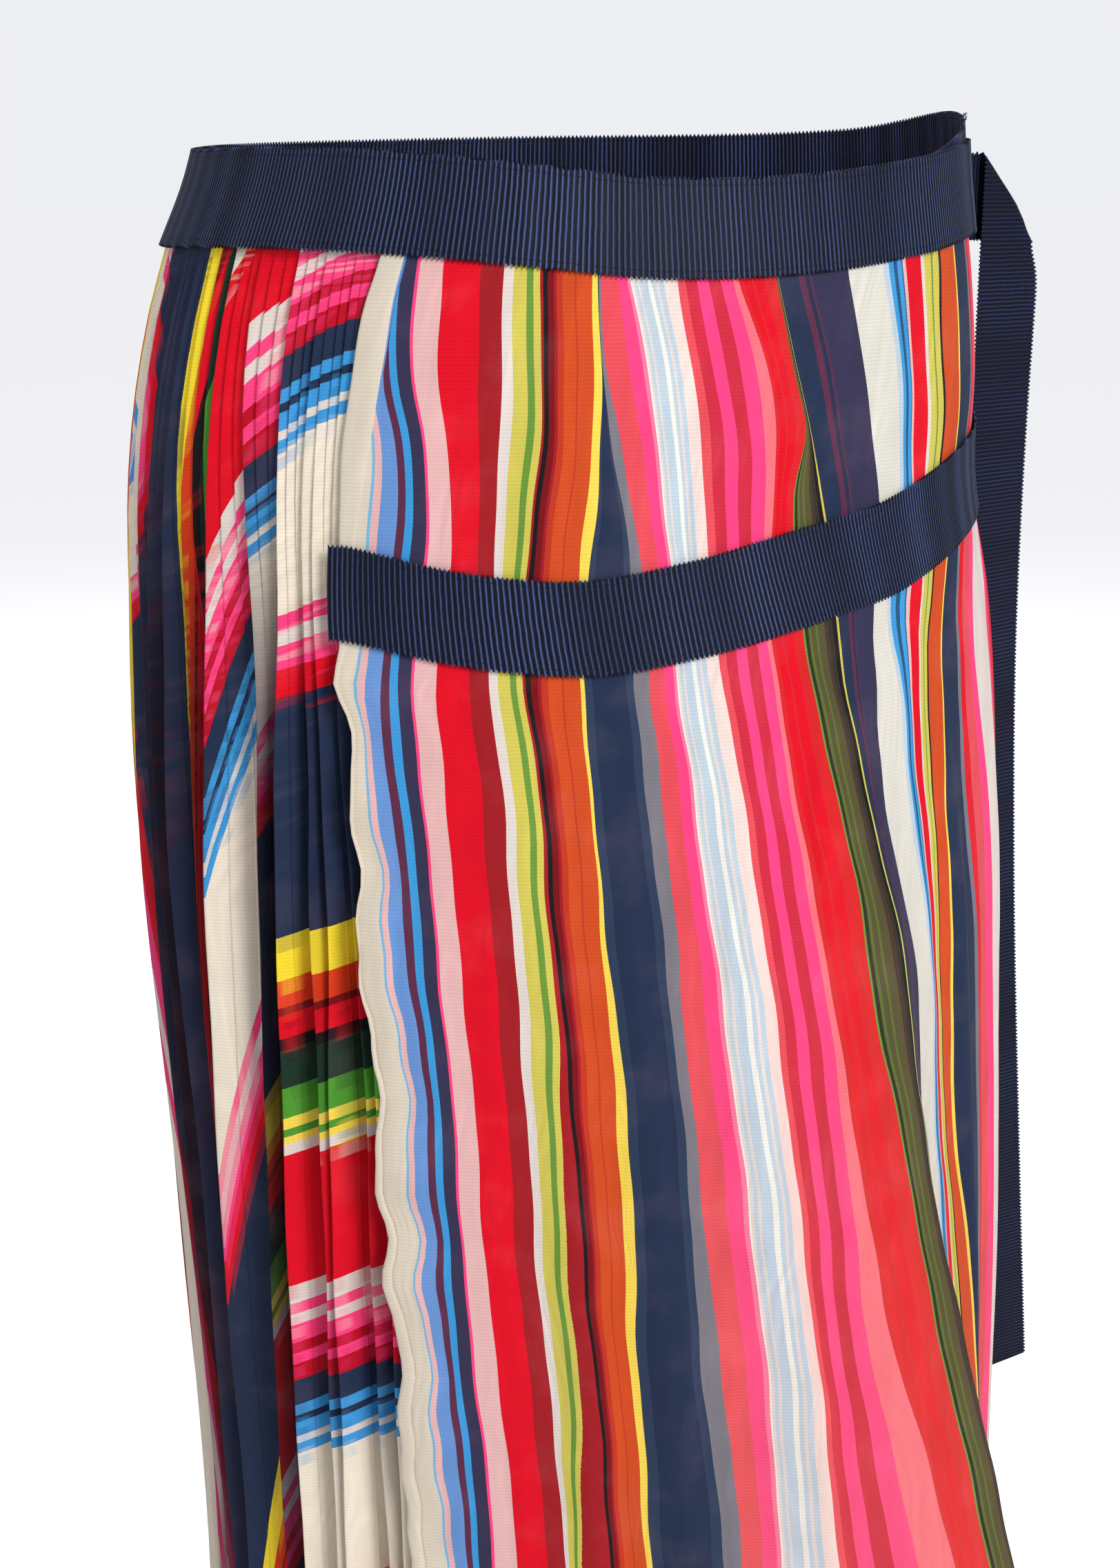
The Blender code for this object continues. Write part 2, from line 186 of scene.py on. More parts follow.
TIE_WIDTH = 0.036
TIE_THICK = 0.0012
TIE_START = 104.0
TIE_LEG = 0.030
TIE_FIRST_TURN = -70.5
TIE_LAST_TURN = 18.0
TIE_TOP = 0.0255
TIE_LENGTH = 0.5915
TIE_SLANT = 0.003
TIE_GAP = 0.00055
TIE_ROLL = 0.0011
TIE_CORNER = 0.0048
TIE_UNDER = 0.012
TIE_RIB = 0.00005

# The hanging tie: height, how far its middle moves towards +X and +Y, and how far it turns
TIE_HANG = columns(
    (-0.590, 0.0235, -0.0100, -8.0),
    (-0.450, 0.0128, -0.0080, -4.0),
    (-0.300, 0.0030, -0.0060, 3.0),
    (-0.190, -0.0015, -0.0050, 7.0),
    (-0.100, -0.0025, -0.0030, 3.0),
    (-0.030, -0.0005, 0.0000, 1.0),
    (0.050, 0.0000, 0.0000, 0.0),
)

EYE_ANGLE = 77.0
EYE_WIRE = 0.0004
EYE_HALF_WIDTH = 0.0036
EYE_HALF_HEIGHT = 0.0022
EYE_NECK = 0.35
HIP_START = -0.016

# Lamps: name, place, size and power
LAMPS = (
    ("window", (0.9, -2.6, 1.4), 1.1, 66.0),
    ("fill", (-2.6, -0.9, 0.9), 1.2, 12.0),
    ("back", (0.6, 2.6, 1.8), 1.6, 40.0),
)
LAMP_AIM = (0.0, 0.0, -0.3)
SENSOR = 36.0
FOCAL_PIXELS = 3165.0
PHOTO_HEIGHT = 2274.0
CAMERA_AT = (-0.2606, -0.8793, 0.025)
CAMERA_TURN = (74.0, 0.0, -16.0)

# Dyes, threads and plate, as screen colours
DYES = {
    "red": (222, 8, 34), "crimson": (190, 8, 38), "dark red": (120, 14, 24),
    "brick": (160, 26, 34), "cerise": (204, 42, 64), "storm": (46, 60, 86),
    "moss": (92, 108, 46), "petal": (236, 214, 206), "salmon": (244, 112, 124),
    "ember red": (214, 34, 38), "umber": (70, 54, 44), "ivory": (234, 232, 222),
    "coral": (226, 76, 86), "hot pink": (252, 66, 128), "candy": (252, 120, 156),
    # The hem's cream is the stripe's cream greyed as painted shade
    "shell": (226, 178, 176), "cream": (236, 224, 204), "shaded hem cream": (216, 204, 186),
    "pearl": (222, 210, 202), "pale blue": (186, 202, 214), "light blue": (120, 178, 216),
    "sky": (60, 150, 212), "periwinkle": (104, 146, 206), "teal": (40, 84, 120),
    "plum": (92, 44, 70), "dusk": (53, 50, 79), "bone": (217, 213, 202), "navy": (34, 47, 74),
    "slate": (118, 116, 128), "rib grey": (122, 118, 126), "lime": (206, 194, 86),
    "yellow": (246, 214, 84), "sun": (246, 218, 50), "green": (104, 146, 56),
    "leaf": (78, 150, 48), "dark green": (28, 52, 40), "olive": (86, 80, 50),
    "dark olive": (50, 48, 38), "orange": (206, 76, 32), "rust": (190, 54, 32),
    "ember": (222, 62, 26), "black": (26, 20, 24),
    "haze": (150, 120, 126), "plum layer": (84, 26, 42), "pale coral": (236, 150, 128),
    # Painted highlight on the ribbons' ribs, lit and in shade, and painted shade in the rib
    # valleys
    "rib highlight": (70, 86, 134), "shaded rib highlight": (40, 49, 88), "rib valley shade": (7, 9, 25),
    "stitch": (7, 8, 22), "bright plate": (205, 205, 210), "dull plate": (160, 160, 168),
}

# What the pleats' painted shade multiplies a colour by: shade painted into their valleys and
# darkest folds
SHADOW = (0.14, 0.12, 0.17, 1.0)
RAMP_STRIPES = 30

# The overlay's stripes: each dye and the place on the chart where it ends
OVERLAY_CHART = (
    ("shaded hem cream", 0.0), ("light blue", 3.0), ("shell", 9.0), ("periwinkle", 22.5),
    ("plum", 31.0), ("sky", 38.5), ("dusk", 50.0), ("hot pink", 52.5), ("shell", 71.5),
    ("red", 99.0), ("brick", 116.0), ("pearl", 123.5), ("lime", 133.5), ("green", 139.0),
    ("lime", 144.0), ("brick", 145.5), ("black", 150.0), ("dark red", 154.5), ("brick", 157.0),
    ("rust", 162.0), ("orange", 172.0), ("rust", 173.5), ("orange", 187.0), ("yellow", 190.5),
    ("storm", 196.5), ("navy", 225.0), ("storm", 231.5), ("rib grey", 243.5), ("coral", 256.0),
    ("hot pink", 264.5), ("candy", 266.5), ("ivory", 268.0), ("pearl", 269.5),
    ("pale blue", 272.5), ("pearl", 274.0), ("pale blue", 281.0), ("ivory", 284.5),
    ("pale blue", 288.0), ("pearl", 290.5), ("pale blue", 295.0), ("petal", 306.0),
    ("coral", 312.0), ("cerise", 321.0), ("hot pink", 330.0), ("cerise", 340.5),
    ("hot pink", 350.5), ("salmon", 358.0), ("ember red", 362.0), ("red", 368.0),
    ("ember red", 370.0), ("red", 378.0), ("ember red", 388.0), ("green", 390.0),
    ("dark olive", 394.0), ("moss", 397.0), ("olive", 402.0), ("moss", 404.5), ("olive", 413.0),
    ("umber", 418.0), ("dark olive", 424.0), ("black", 429.0), ("lime", 432.5), ("navy", 445.0),
    ("plum", 449.5), ("navy", 452.5), ("plum", 454.0), ("dusk", 477.0), ("bone", 507.0),
    ("pale blue", 513.0), ("sky", 518.5), ("teal", 523.0), ("sky", 528.5), ("teal", 530.0),
    ("shell", 534.5), ("red", 549.5), ("pearl", 552.0), ("lime", 557.0), ("green", 559.5),
    ("lime", 565.0), ("black", 567.0), ("orange", 595.0), ("yellow", 598.0), ("navy", 634.0),
    ("slate", 640.0), ("red", 652.0), ("coral", 672.0), ("hot pink", 688.0), ("pearl", 735.0),
    ("hot pink", 748.0), ("red", 790.0), ("lime", 796.0), ("olive", 804.0), ("navy", 850.0),
    ("cream", 885.0), ("sky", 900.0),
)

CHART_START = -60.0
HEM_PLACE = -30.0
GREY_END = 243.5
OVERLAY_BLEED = 0.12
CREAM_SPAN = 0.05
CREAM_EDGE = 0.002
CREAM_GAP = 0.0003
COLUMN_GAP = 0.0002
OVERLAY_COLUMN = 0.0056
LEAST_STRIPE = 0.0004

# Where chart places lie across the overlay, as shares of its width, at a few heights
GRAIN_PLACES = np.array(
    [22.5, 38.5, 71.5, 116, 144, 145.5, 187, 190.5, 231.5, 243.5, 266.5, 306, 350.5, 358, 388]
    + [432.5, 477, 512, 540, 567, 597, 640, 688, 900]
)
GRAIN_HEIGHTS = np.array(
    [-0.960, -0.512, -0.441, -0.367, -0.297, -0.228]
    + [-0.165, -0.155, -0.098, -0.073, -0.053, -0.015]
)
GRAIN = columns(
    [16, 26, 55, 92, 102, 124, 152, 156, 200, 216, 240, 274, 330, 358, 378]
    + [416, 456, 496, 520, 545, 575, 660, 720, 1000],
    [16, 26, 54, 90, 102, 122, 150, 154, 204, 215, 239, 272, 318, 345, 377]
    + [413, 452, 490, 510, 538, 560, 660, 715, 1000],
    [6, 17, 46, 84, 106, 118, 146, 152, 199, 212, 242, 278, 314, 331, 376]
    + [412, 452, 490, 508, 526, 545, 662, 712, 1000],
    [9, 21, 48, 87, 110, 121, 154, 162, 206, 214, 245, 286, 322, 332, 381]
    + [415, 455, 492, 504, 517, 529, 665, 712, 1000],
    [10, 22, 50, 90, 118, 122, 157, 163, 205, 213, 243, 284, 324, 329, 370]
    + [418, 459, 498, 503, 515, 535, 640, 704, 1000],
    [13, 28, 57, 101, 128, 130, 167, 169, 212, 223, 248, 289, 328, 333, 375]
    + [410, 434, 487, 505, 528, 549, 610, 694, 1000],
    [22, 38, 71, 116, 144, 145, 187, 190, 231, 243, 266, 306, 351, 355, 388]
    + [432, 477, 512, 539, 566, 597, 640, 686, 1000],
    [28, 43, 76, 120, 146, 147, 191, 194, 236, 248, 270, 308, 354, 358, 392]
    + [437, 482, 510, 548, 578, 605, 645, 694, 1000],
    [45, 60, 96, 136, 168, 169, 212, 222, 246, 253, 283, 323, 386, 396, 420]
    + [458, 534, 576, 604, 655, 700, 745, 800, 1000],
    [35, 51, 86, 135, 171, 172, 219, 227, 237, 245, 279, 322, 394, 408, 441]
    + [447, 525, 580, 604, 671, 719, 775, 820, 1000],
    [17, 33, 74, 132, 171, 172, 220, 228, 230, 233, 272, 316, 388, 402, 431]
    + [435, 519, 576, 602, 664, 717, 778, 825, 1000],
    [10, 25, 67, 130, 166, 168, 215, 220, 221, 222, 251, 301, 359, 364, 409]
    + [411, 498, 560, 601, 670, 718, 780, 830, 1000],
)
GRAIN = GRAIN / 1000.0

# The pleated cloth's stripes, along one repeat of the print, in metres
PLEATED_REPEAT = 0.404
PLEATED_CHART = (
    ("navy", 0.0365), ("sky", 0.0410), ("navy", 0.0445), ("sky", 0.0505), ("pearl", 0.0537),
    ("sky", 0.0584), ("cream", 0.1230), ("hot pink", 0.1285), ("pearl", 0.1340),
    ("hot pink", 0.1445), ("red", 0.1550), ("navy", 0.2442), ("sun", 0.2617), ("ember", 0.2730),
    ("dark red", 0.2755), ("red", 0.2850), ("black", 0.2891), ("dark green", 0.3047),
    ("leaf", 0.3184), ("yellow", 0.3225), ("leaf", 0.3250), ("yellow", 0.3291),
    ("pearl", 0.3330), ("red", 0.3896), ("pearl", 0.3965), ("hot pink", 0.4018),
    ("pearl", 0.4062), ("hot pink", 0.4140), ("crimson", 0.4179), ("hot pink", 0.4238),
    ("crimson", 0.4310),
)
SUNBURST_RADIUS = 0.160
PLEATED_BLEED = 0.0004
GHOST_SHIFT = -0.006

# The angles where the pleated cloth's wide folds start, at these heights, from the wearer's right
# side to the overlay
FOLD_HEIGHTS = np.array([-0.960, -0.420, -0.250, -0.115, -0.030, 0.050])
FOLD_STARTS = np.array(
    [
        (-100.0, -100.0, -99.0, -97.0, -96.0, -96.0),
        (-91.5, -91.5, -91.0, -90.0, -89.0, -89.0),
        (-84.5, -83.5, -83.6, -82.5, -82.0, -82.0),
        (-79.5, -78.5, -78.8, -77.5, -76.0, -76.0),
        (-75.0, -73.5, -73.2, -72.0, -71.5, -71.5),
        (-71.0, -70.0, -68.8, -67.5, -67.5, -67.5),
        (-69.0, -68.0, -64.6, -61.5, -62.0, -62.0),
        (-60.0, -58.8, -55.0, -53.9, -56.4, -56.4),
        (-56.0, -54.2, -51.4, -49.1, -49.8, -49.8),
        (-51.0, -48.2, -46.1, -45.6, -45.3, -45.3),
        (-48.5, -46.5, -44.2, -43.9, -43.8, -43.8),
        (-42.5, -41.0, -40.5, -41.2, -40.8, -40.8),
        (-38.0, -38.3, -38.5, -38.8, -39.2, -39.2),
    ]
)
# For each: its narrow pleats, how far its cloth has turned on the sunburst at its two sides, at
# the waist and then below the hips, how deep it lies below the hips, and how dark its painted
# shade is there
FOLD_CLOTH = (
    (3, 276.0, 269.0, 273.0, 266.0, 0.000, 0.3),
    (3, 150.0, 113.0, 103.5, 97.5, 0.001, 0.3),
    (3, 118.0, 110.0, 99.5, 95.5, 0.002, 0.6),
    (3, 109.0, 101.0, 98.5, 95.0, 0.001, 0.8),
    (2, 101.0, 85.0, 96.0, 86.5, 0.000, 0.3),
    (3, 88.0, 70.0, 86.0, 78.0, 0.004, 0.8),
    (3, 59.5, 53.0, 58.0, 48.5, 0.000, 0.0),
    (3, 40.5, 37.0, 35.0, 30.0, 0.003, 0.95),
    (3, 24.0, 18.5, 16.5, 14.5, 0.000, 0.0),
    (1, 17.5, 16.5, 14.2, 13.8, 0.001, 0.25),
    (2, 15.5, 12.5, 13.0, 11.5, 0.000, 0.0),
    (1, 11.5, 10.0, 10.0, 9.0, 0.001, 0.35),
)
# The other folds: their spacing and how far their cloth has turned
FOLD_WIDTHS = (4.2, 3.2, 4.8, 3.6, 2.9, 4.4, 3.4)
TURN_RATE = 2.9
SIDE_TURN = 276.0
BACK_TURN = 415.0
LOW_TURN = 12.0
UNDER_TURN = 9.0

# Where the narrow pleats open out, how deep they and the wide folds are, where they lie loose
# below the hips and past which angle they are tucked under the overlay
AT_WAIST = 4
PLEATED_ROWS = 50
ROWS_CLOSER = 1.15
OPEN_HEIGHT = -0.170
OPEN_RUN = 0.140
STEP_RUN = 0.100
STEP_ARC = 0.0030
PLAIN_FOLD = 4.5
FOLD_DEPTH = 0.0012
FOLD_DEPTH_LOW = 0.0120
NARROW_DEPTH = 0.0014
NARROW_DEPTH_LOW = 0.0004
FREE_RISE = 0.0030
SEAM_TURN = 2.5
FOLDS_TOP = -0.05
LOOSE_LEFT = 122.0
LOOSE_RIGHT = -43.0
TUCKED_RIGHT = -36.0
SWELL = 0.0006
PLUM_ANGLE = -79.0
PLUM_REACH = 7.0

# One pleat in cross section: share of its width and height
PLEAT_FORM = columns(
    (-0.10, 0.88), (-0.07, 1.00), (0.01, 0.98), (0.15, 0.88), (0.36, 0.67), (0.58, 0.42),
    (0.79, 0.18), (0.94, 0.04), (1.00, 0.00),
)


def smooth(at, xs, ys):
    """A cubic curve through the points (xs, ys), its slope at each taken from the neighbours."""
    at = np.clip(at, xs[0], xs[-1])
    slope = np.gradient(ys, xs)
    i = np.clip(np.searchsorted(xs, at, side="right") - 1, 0, len(xs) - 2)
    step = xs[i + 1] - xs[i]
    t = (at - xs[i]) / step
    start = (1 + 2 * t) * (1 - t) ** 2 * ys[i] + t * (1 - t) ** 2 * slope[i] * step
    end = t**2 * (3 - 2 * t) * ys[i + 1] - t**2 * (1 - t) * slope[i + 1] * step
    return start + end


def ease(t):
    """0 below t = 0, 1 above t = 1, and a smooth step between."""
    t = np.clip(t, 0.0, 1.0)
    return t * t * (3 - 2 * t)


def between(first, last, share):
    """A share of the way from first to last."""
    return first + (last - first) * share


def lower(height, top, run):
    """0 above a height, rising smoothly to 1 a run below it."""
    return ease((top - height) / run)


def on_body(angle, height, out):
    """Points of the body form at angles and heights, moved out square to it, level."""
    turn = np.radians(angle)
    right, left, front, back = (smooth(height, BODY[0], side) for side in BODY[1:])
    wide = np.where(np.sin(turn) > 0, left, right)
    deep = np.where(np.cos(turn) > 0, front, back)
    across = deep * np.sin(turn)
    along = -wide * np.cos(turn)
    length = np.hypot(across, along)
    x = wide * np.sin(turn) + out * across / length
    y = -deep * np.cos(turn) + out * along / length
    return np.stack([x, y, height + 0 * x], axis=-1)


def run_of(points):
    """Distance travelled along each row of a grid of points."""
    step = np.linalg.norm(np.diff(points, axis=1), axis=-1)
    return np.concatenate([np.zeros_like(step[:, :1]), np.cumsum(step, axis=1)], axis=1)


def pleat_depth(height):
    """How far the pleats stand out from the form at a height."""
    return smooth(height, *PLEATS)


def pleat_wall(height):
    """The pleats' wall, measured level: thickness over the cosine of the pleats' slope."""
    return PLEAT_WALL * np.hypot(1.0, pleat_depth(height) / (PLEAT_PITCH / 2))


def over_pleats(height):
    """How far out the overlay lies: just past the pleats."""
    return pleat_depth(height) + pleat_wall(height) + LAYER_GAP


def ridge(share, crest, rise, fall):
    """1 on the crest, falling smoothly to 0 over rise before it and fall after it."""
    before = ease(1 + (share - crest) / rise)
    after = ease(1 - (share - crest) / fall)
    return np.where(share < crest, before, after)


def overlay_out(share, height):
    """The overlay's inner face from the body form: past the pleats, with its folds added."""
    flute = smooth(height, FLUTE[0], FLUTE[2])
    out = over_pleats(height) * ease((1 - share) / SEAM_BLEND)
    out = out + flute * ridge(share, FLUTE_SHARE, FLUTE_RISE, FLUTE_FALL)
    down = np.clip((FOLD_START - height) / (FOLD_START - HEM), 0.0, 1.0)
    for crest, depth, rise, fall in FOLDS:
        out = out + depth * ease(FOLD_OPENING * down) * ridge(share, crest, rise, fall)
    return out


def overlay_angle(share, height):
    """Angles of the overlay's grain lines, which turn with the big fold."""
    left = smooth(height, *FREE_EDGE)
    crest = smooth(height, FLUTE[0], FLUTE[1])
    before = left + (crest - left) * share / FLUTE_SHARE
    after = crest + (SIDE_SEAM - crest) * (share - FLUTE_SHARE) / (1 - FLUTE_SHARE)
    return np.where(share < FLUTE_SHARE, before, after)


def waist_top(path):
    """The height of the waistband's top edge at an angle along its ribbon."""
    return smooth(path, *WAIST_TOP)


def band_path(angle):
    """The angle along the waistband's ribbon that covers this one, front end first."""
    return np.where(angle > FRONT_END, angle - 360.0, angle)


def band_face():
    """How far out the waistband's inner face lies."""
    return over_pleats(0.0) + CLOTH + SEAM_GAP


def to_band(out, angle, height):
    """The cloth's outer face, brought by a smooth step to the waistband's inner face behind it."""
    behind = ease((height - waist_top(band_path(angle)) + BAND_HEIGHT + BEHIND_START) / BEHIND_RUN)
    return between(out, band_face(), behind)


def overlay_height(share, level):
    """Heights at levels: 0 at the hem, 1 and 2 at the hip band's edges, 3 in the waistband."""
    rough = overlay_angle(share, HIP_TOP[1].mean())
    hip_top = smooth(rough, *HIP_TOP)
    waist = waist_top(np.minimum(rough, FRONT_END)) - BAND_HEIGHT + TOP_TUCK
    below = between(HEM, hip_top - BAND_HEIGHT, level)
    band = hip_top + (level - 2) * BAND_HEIGHT
    yoke = between(hip_top, waist, level - 2)
    return np.where(level < 1, below, np.where(level < 2, band, yoke))


def linear(dye):
    """A dye's colour for the shader: its screen value with the screen's curve taken off."""
    value = np.array(DYES[dye]) / 255.0
    value = np.where(value <= 0.04045, value / 12.92, ((value + 0.055) / 1.055) ** 2.4)
    return (*value.tolist(), 1.0)


def fill(tree, made, values):
    """Gives a node's inputs their values: numbers, or sockets to link."""
    for key, value in dict(values).items():
        if isinstance(value, bpy.types.NodeSocket):
            tree.links.new(value, made.inputs[key])
        else:
            made.inputs[key].default_value = value
    return made


def add_node(tree, kind, values=(), **settings):
    """A shader node with its settings and its inputs' values."""
    made = tree.nodes.new("ShaderNode" + kind)
    for key, value in settings.items():
        setattr(made, key, value)
    return fill(tree, made, values)


def maths(tree, operation, *values):
    """The result of one operation on numbers or sockets."""
    return add_node(tree, "Math", enumerate(values), operation=operation).outputs[0]


def times(tree, first, second):
    """A product."""
    return maths(tree, "MULTIPLY", first, second)


def scaled(tree, value, rate, start):
    """A value times a rate, plus a start."""
    return maths(tree, "MULTIPLY_ADD", value, rate, start)


def blend(tree, share, first, second, kind="MIX"):
    """Two colours mixed, by a share of the second."""
    values = {0: share, 6: first, 7: second}
    return add_node(tree, "Mix", values, data_type="RGBA", blend_type=kind).outputs[2]


def span(tree, value, low, high, start=0.0, end=1.0):
    """Runs from start to end while the value runs from low to high."""
    return add_node(tree, "MapRange", {0: value, 1: low, 2: high, 3: start, 4: end}).outputs[0]


def wave(tree, value, pitch, kind="COSINE"):
    """A wave that repeats at a pitch."""
    return maths(tree, kind, times(tree, value, 2 * np.pi / pitch))


def noise(tree, at, scale, detail=2.0):
    """Soft noise from 0 to 1, about this many patches to the metre."""
    return add_node(tree, "TexNoise", {"Vector": at, "Scale": scale, "Detail": detail}).outputs[0]


def drawn_out(tree, at, share):
    """A place with its second part shrunk, which draws out what is there."""
    return add_node(tree, "Mapping", {0: at, 3: (1.0, share, 1.0)}).outputs[0]


def map_of(tree, name):
    """One of the piece's own maps."""
    return add_node(tree, "UVMap", uv_map=name).outputs[0]


def parts(tree, at):
    """The first two parts of a place."""
    return add_node(tree, "SeparateXYZ", {0: at}).outputs[:2]


def dyed(tree, chart, place):
    """The dye at a place on a chart."""
    return add_node(tree, "Group", {"Place": place}, node_tree=chart).outputs["Color"]


def relief(tree, height, strength):
    """The normal of a surface whose relief, in metres, is so high."""
    values = {"Height": height, "Strength": strength, "Distance": 1.0}
    return add_node(tree, "Bump", values).outputs[0]


def group(name, inputs, outputs):
    """An empty node group with named sockets, and its input and output nodes."""
    tree = bpy.data.node_groups.new(name, "ShaderNodeTree")
    for kind, sockets in (("INPUT", inputs), ("OUTPUT", outputs)):
        for label, shape in sockets:
            tree.interface.new_socket(label, in_out=kind, socket_type="NodeSocket" + shape)
    return tree, tree.nodes.new("NodeGroupInput"), tree.nodes.new("NodeGroupOutput")


def chart_group(name, chart, start):
    """A place on a stripe chart becomes its dye: colour ramps with steps where the stripes end,
    each taking over past the one before it."""
    tree, given, result = group(name, [("Place", "Float")], [("Color", "Color")])
    place = given.outputs["Place"]
    ends = np.array([start] + [end for _, end in chart])
    colour = None
    for first in range(0, len(chart), RAMP_STRIPES):
        part = chart[first : first + RAMP_STRIPES]
        low, high = ends[first], ends[first + len(part)]
        made = add_node(tree, "ValToRGB", {0: span(tree, place, low, high)})
        ramp = made.color_ramp
        ramp.interpolation = "CONSTANT"
        ramp.elements.remove(ramp.elements[1])
        ramp.elements[0].position = 0.0
        ramp.elements[0].color = linear(part[0][0])
        for (dye, _), begin in zip(part[1:], ends[first + 1 :]):
            ramp.elements.new((begin - low) / (high - low)).color = linear(dye)
        if colour is None:
            colour = made.outputs[0]
        else:
            past = maths(tree, "GREATER_THAN", place, low)
            colour = blend(tree, past, colour, made.outputs[0])
    fill(tree, result, {"Color": colour})
    return tree


def weave_group():
    """The dye is lightened and darkened by threads down and across the cloth, by clouds, by long
    streaks and, most in the clouds, by rings of moire: the sine of a broad noise. Across and
    Down are metres; Sheer scales all but the threads."""
    tree, given, result = group(
        "chiffon_weave",
        [("Color", "Color"), ("Across", "Float"), ("Down", "Float"), ("Sheer", "Float")],
        [("Color", "Color"), ("Roughness", "Float"), ("Height", "Float")],
    )
    across, down, sheer = (given.outputs[name] for name in ("Across", "Down", "Sheer"))
    at = add_node(tree, "CombineXYZ", {0: across, 1: down}).outputs[0]
    thread = wave(tree, down, THREAD_PITCH, "SINE")
    warp = wave(tree, across, WARP_PITCH, "SINE")
    cloud = noise(tree, at, 34.0, 3.0)
    streak = noise(tree, drawn_out(tree, at, 0.035), 150.0)
    broad = noise(tree, drawn_out(tree, at, 0.16), 24.0, 1.0)
    patch = span(tree, cloud, 0.50, 0.66)
    rings = maths(tree, "SINE", times(tree, broad, RING_RATE))
    rings = times(tree, rings, scaled(tree, patch, 0.050, 0.008))
    fine = times(tree, thread, 0.045)
    fine = scaled(tree, warp, 0.020, fine)
    soft = scaled(tree, cloud, 0.28, -0.14)
    soft = scaled(tree, streak, 0.30, maths(tree, "SUBTRACT", soft, 0.15))
    soft = times(tree, maths(tree, "ADD", soft, rings), sheer)
    value = maths(tree, "ADD", maths(tree, "ADD", fine, soft), 1.0)
    shade = add_node(tree, "HueSaturation", {"Value": value, "Color": given.outputs["Color"]})
    haze = times(tree, patch, times(tree, sheer, 0.06))
    shade = blend(tree, haze, shade.outputs[0], linear("haze"))
    height = times(tree, warp, WARP_HEIGHT)
    height = scaled(tree, thread, THREAD_HEIGHT, height)
    rough = scaled(tree, cloud, 0.12, 0.66)
    fill(tree, result, {"Color": shade, "Roughness": rough, "Height": height})
    return tree


def new_material(name):
    """A material, its node tree and its shader."""
    made = bpy.data.materials.new(name)
    made.use_nodes = True
    tree = made.node_tree
    return made, tree, tree.nodes["Principled BSDF"]


def layered(tree, chart, place, cloth, colour):
    """Cloth over cloth in the pleats: in long patches the print of the cloth below shows, a little
    shifted, and the map of plum and painted shade tints with plum, most in the patches, and
    darkens the colour with painted shade."""
    below = dyed(tree, chart, maths(tree, "ADD", place, GHOST_SHIFT))
    patch = span(tree, noise(tree, drawn_out(tree, cloth, 0.10), 60.0), 0.48, 0.60, 0.0, 0.35)
    colour = blend(tree, patch, colour, below)
    # dark is painted shade: darker in each fold's valley and over the folds given as dark
    dark, tint = parts(tree, map_of(tree, "painted_shade_and_plum"))
    tint = times(tree, tint, scaled(tree, patch, 1.6, 0.12))
    colour = blend(tree, tint, colour, linear("plum layer"))
    # The painted shade multiplies the colour towards SHADOW
    return blend(tree, dark, colour, SHADOW, "MULTIPLY")


def paled(tree, place, down, colour):
    """The overlay's reds pale where it hangs as a single layer: by its share of red, past the
    grey stripe, growing with the metres down."""
    low = span(tree, down, 0.22, 0.50, 0.0, 0.13)
    red = add_node(tree, "SeparateColor", {0: colour}).outputs[0]
    right = maths(tree, "GREATER_THAN", place, GREY_END)
    pale = times(tree, low, times(tree, red, right))
    return blend(tree, pale, colour, linear("pale coral"))


def chiffon(name, chart, weave, repeat=None):
    """Printed chiffon: the dye at the stripe map's place on the chart, bled by a fine noise. The
    cloth map gives the metres across and down. Only the pleats' print repeats."""
    made, tree, shader = new_material(name)
    place = parts(tree, map_of(tree, "stripe"))[0]
    cloth = map_of(tree, "cloth")
    across, down = parts(tree, cloth)
    if repeat:
        place = maths(tree, "WRAP", place, repeat[1], repeat[0])
    bleed = maths(tree, "SUBTRACT", noise(tree, cloth, 900.0), 0.5)
    place = scaled(tree, bleed, PLEATED_BLEED if repeat else OVERLAY_BLEED, place)
    colour = dyed(tree, chart, place)
    if repeat:
        colour = layered(tree, chart, place, cloth, colour)
    else:
        colour = paled(tree, place, down, colour)
    given = {"Color": colour, "Across": across, "Down": down, "Sheer": SHEER}
    look = add_node(tree, "Group", given, node_tree=weave).outputs
    normal = relief(tree, look["Height"], 0.4)
    looks = {"Base Color": look["Color"], "Roughness": look["Roughness"], "Normal": normal}
    fill(tree, shader, {**looks, "Sheen Weight": 0.04, "Specular IOR Level": 0.10})
    return made


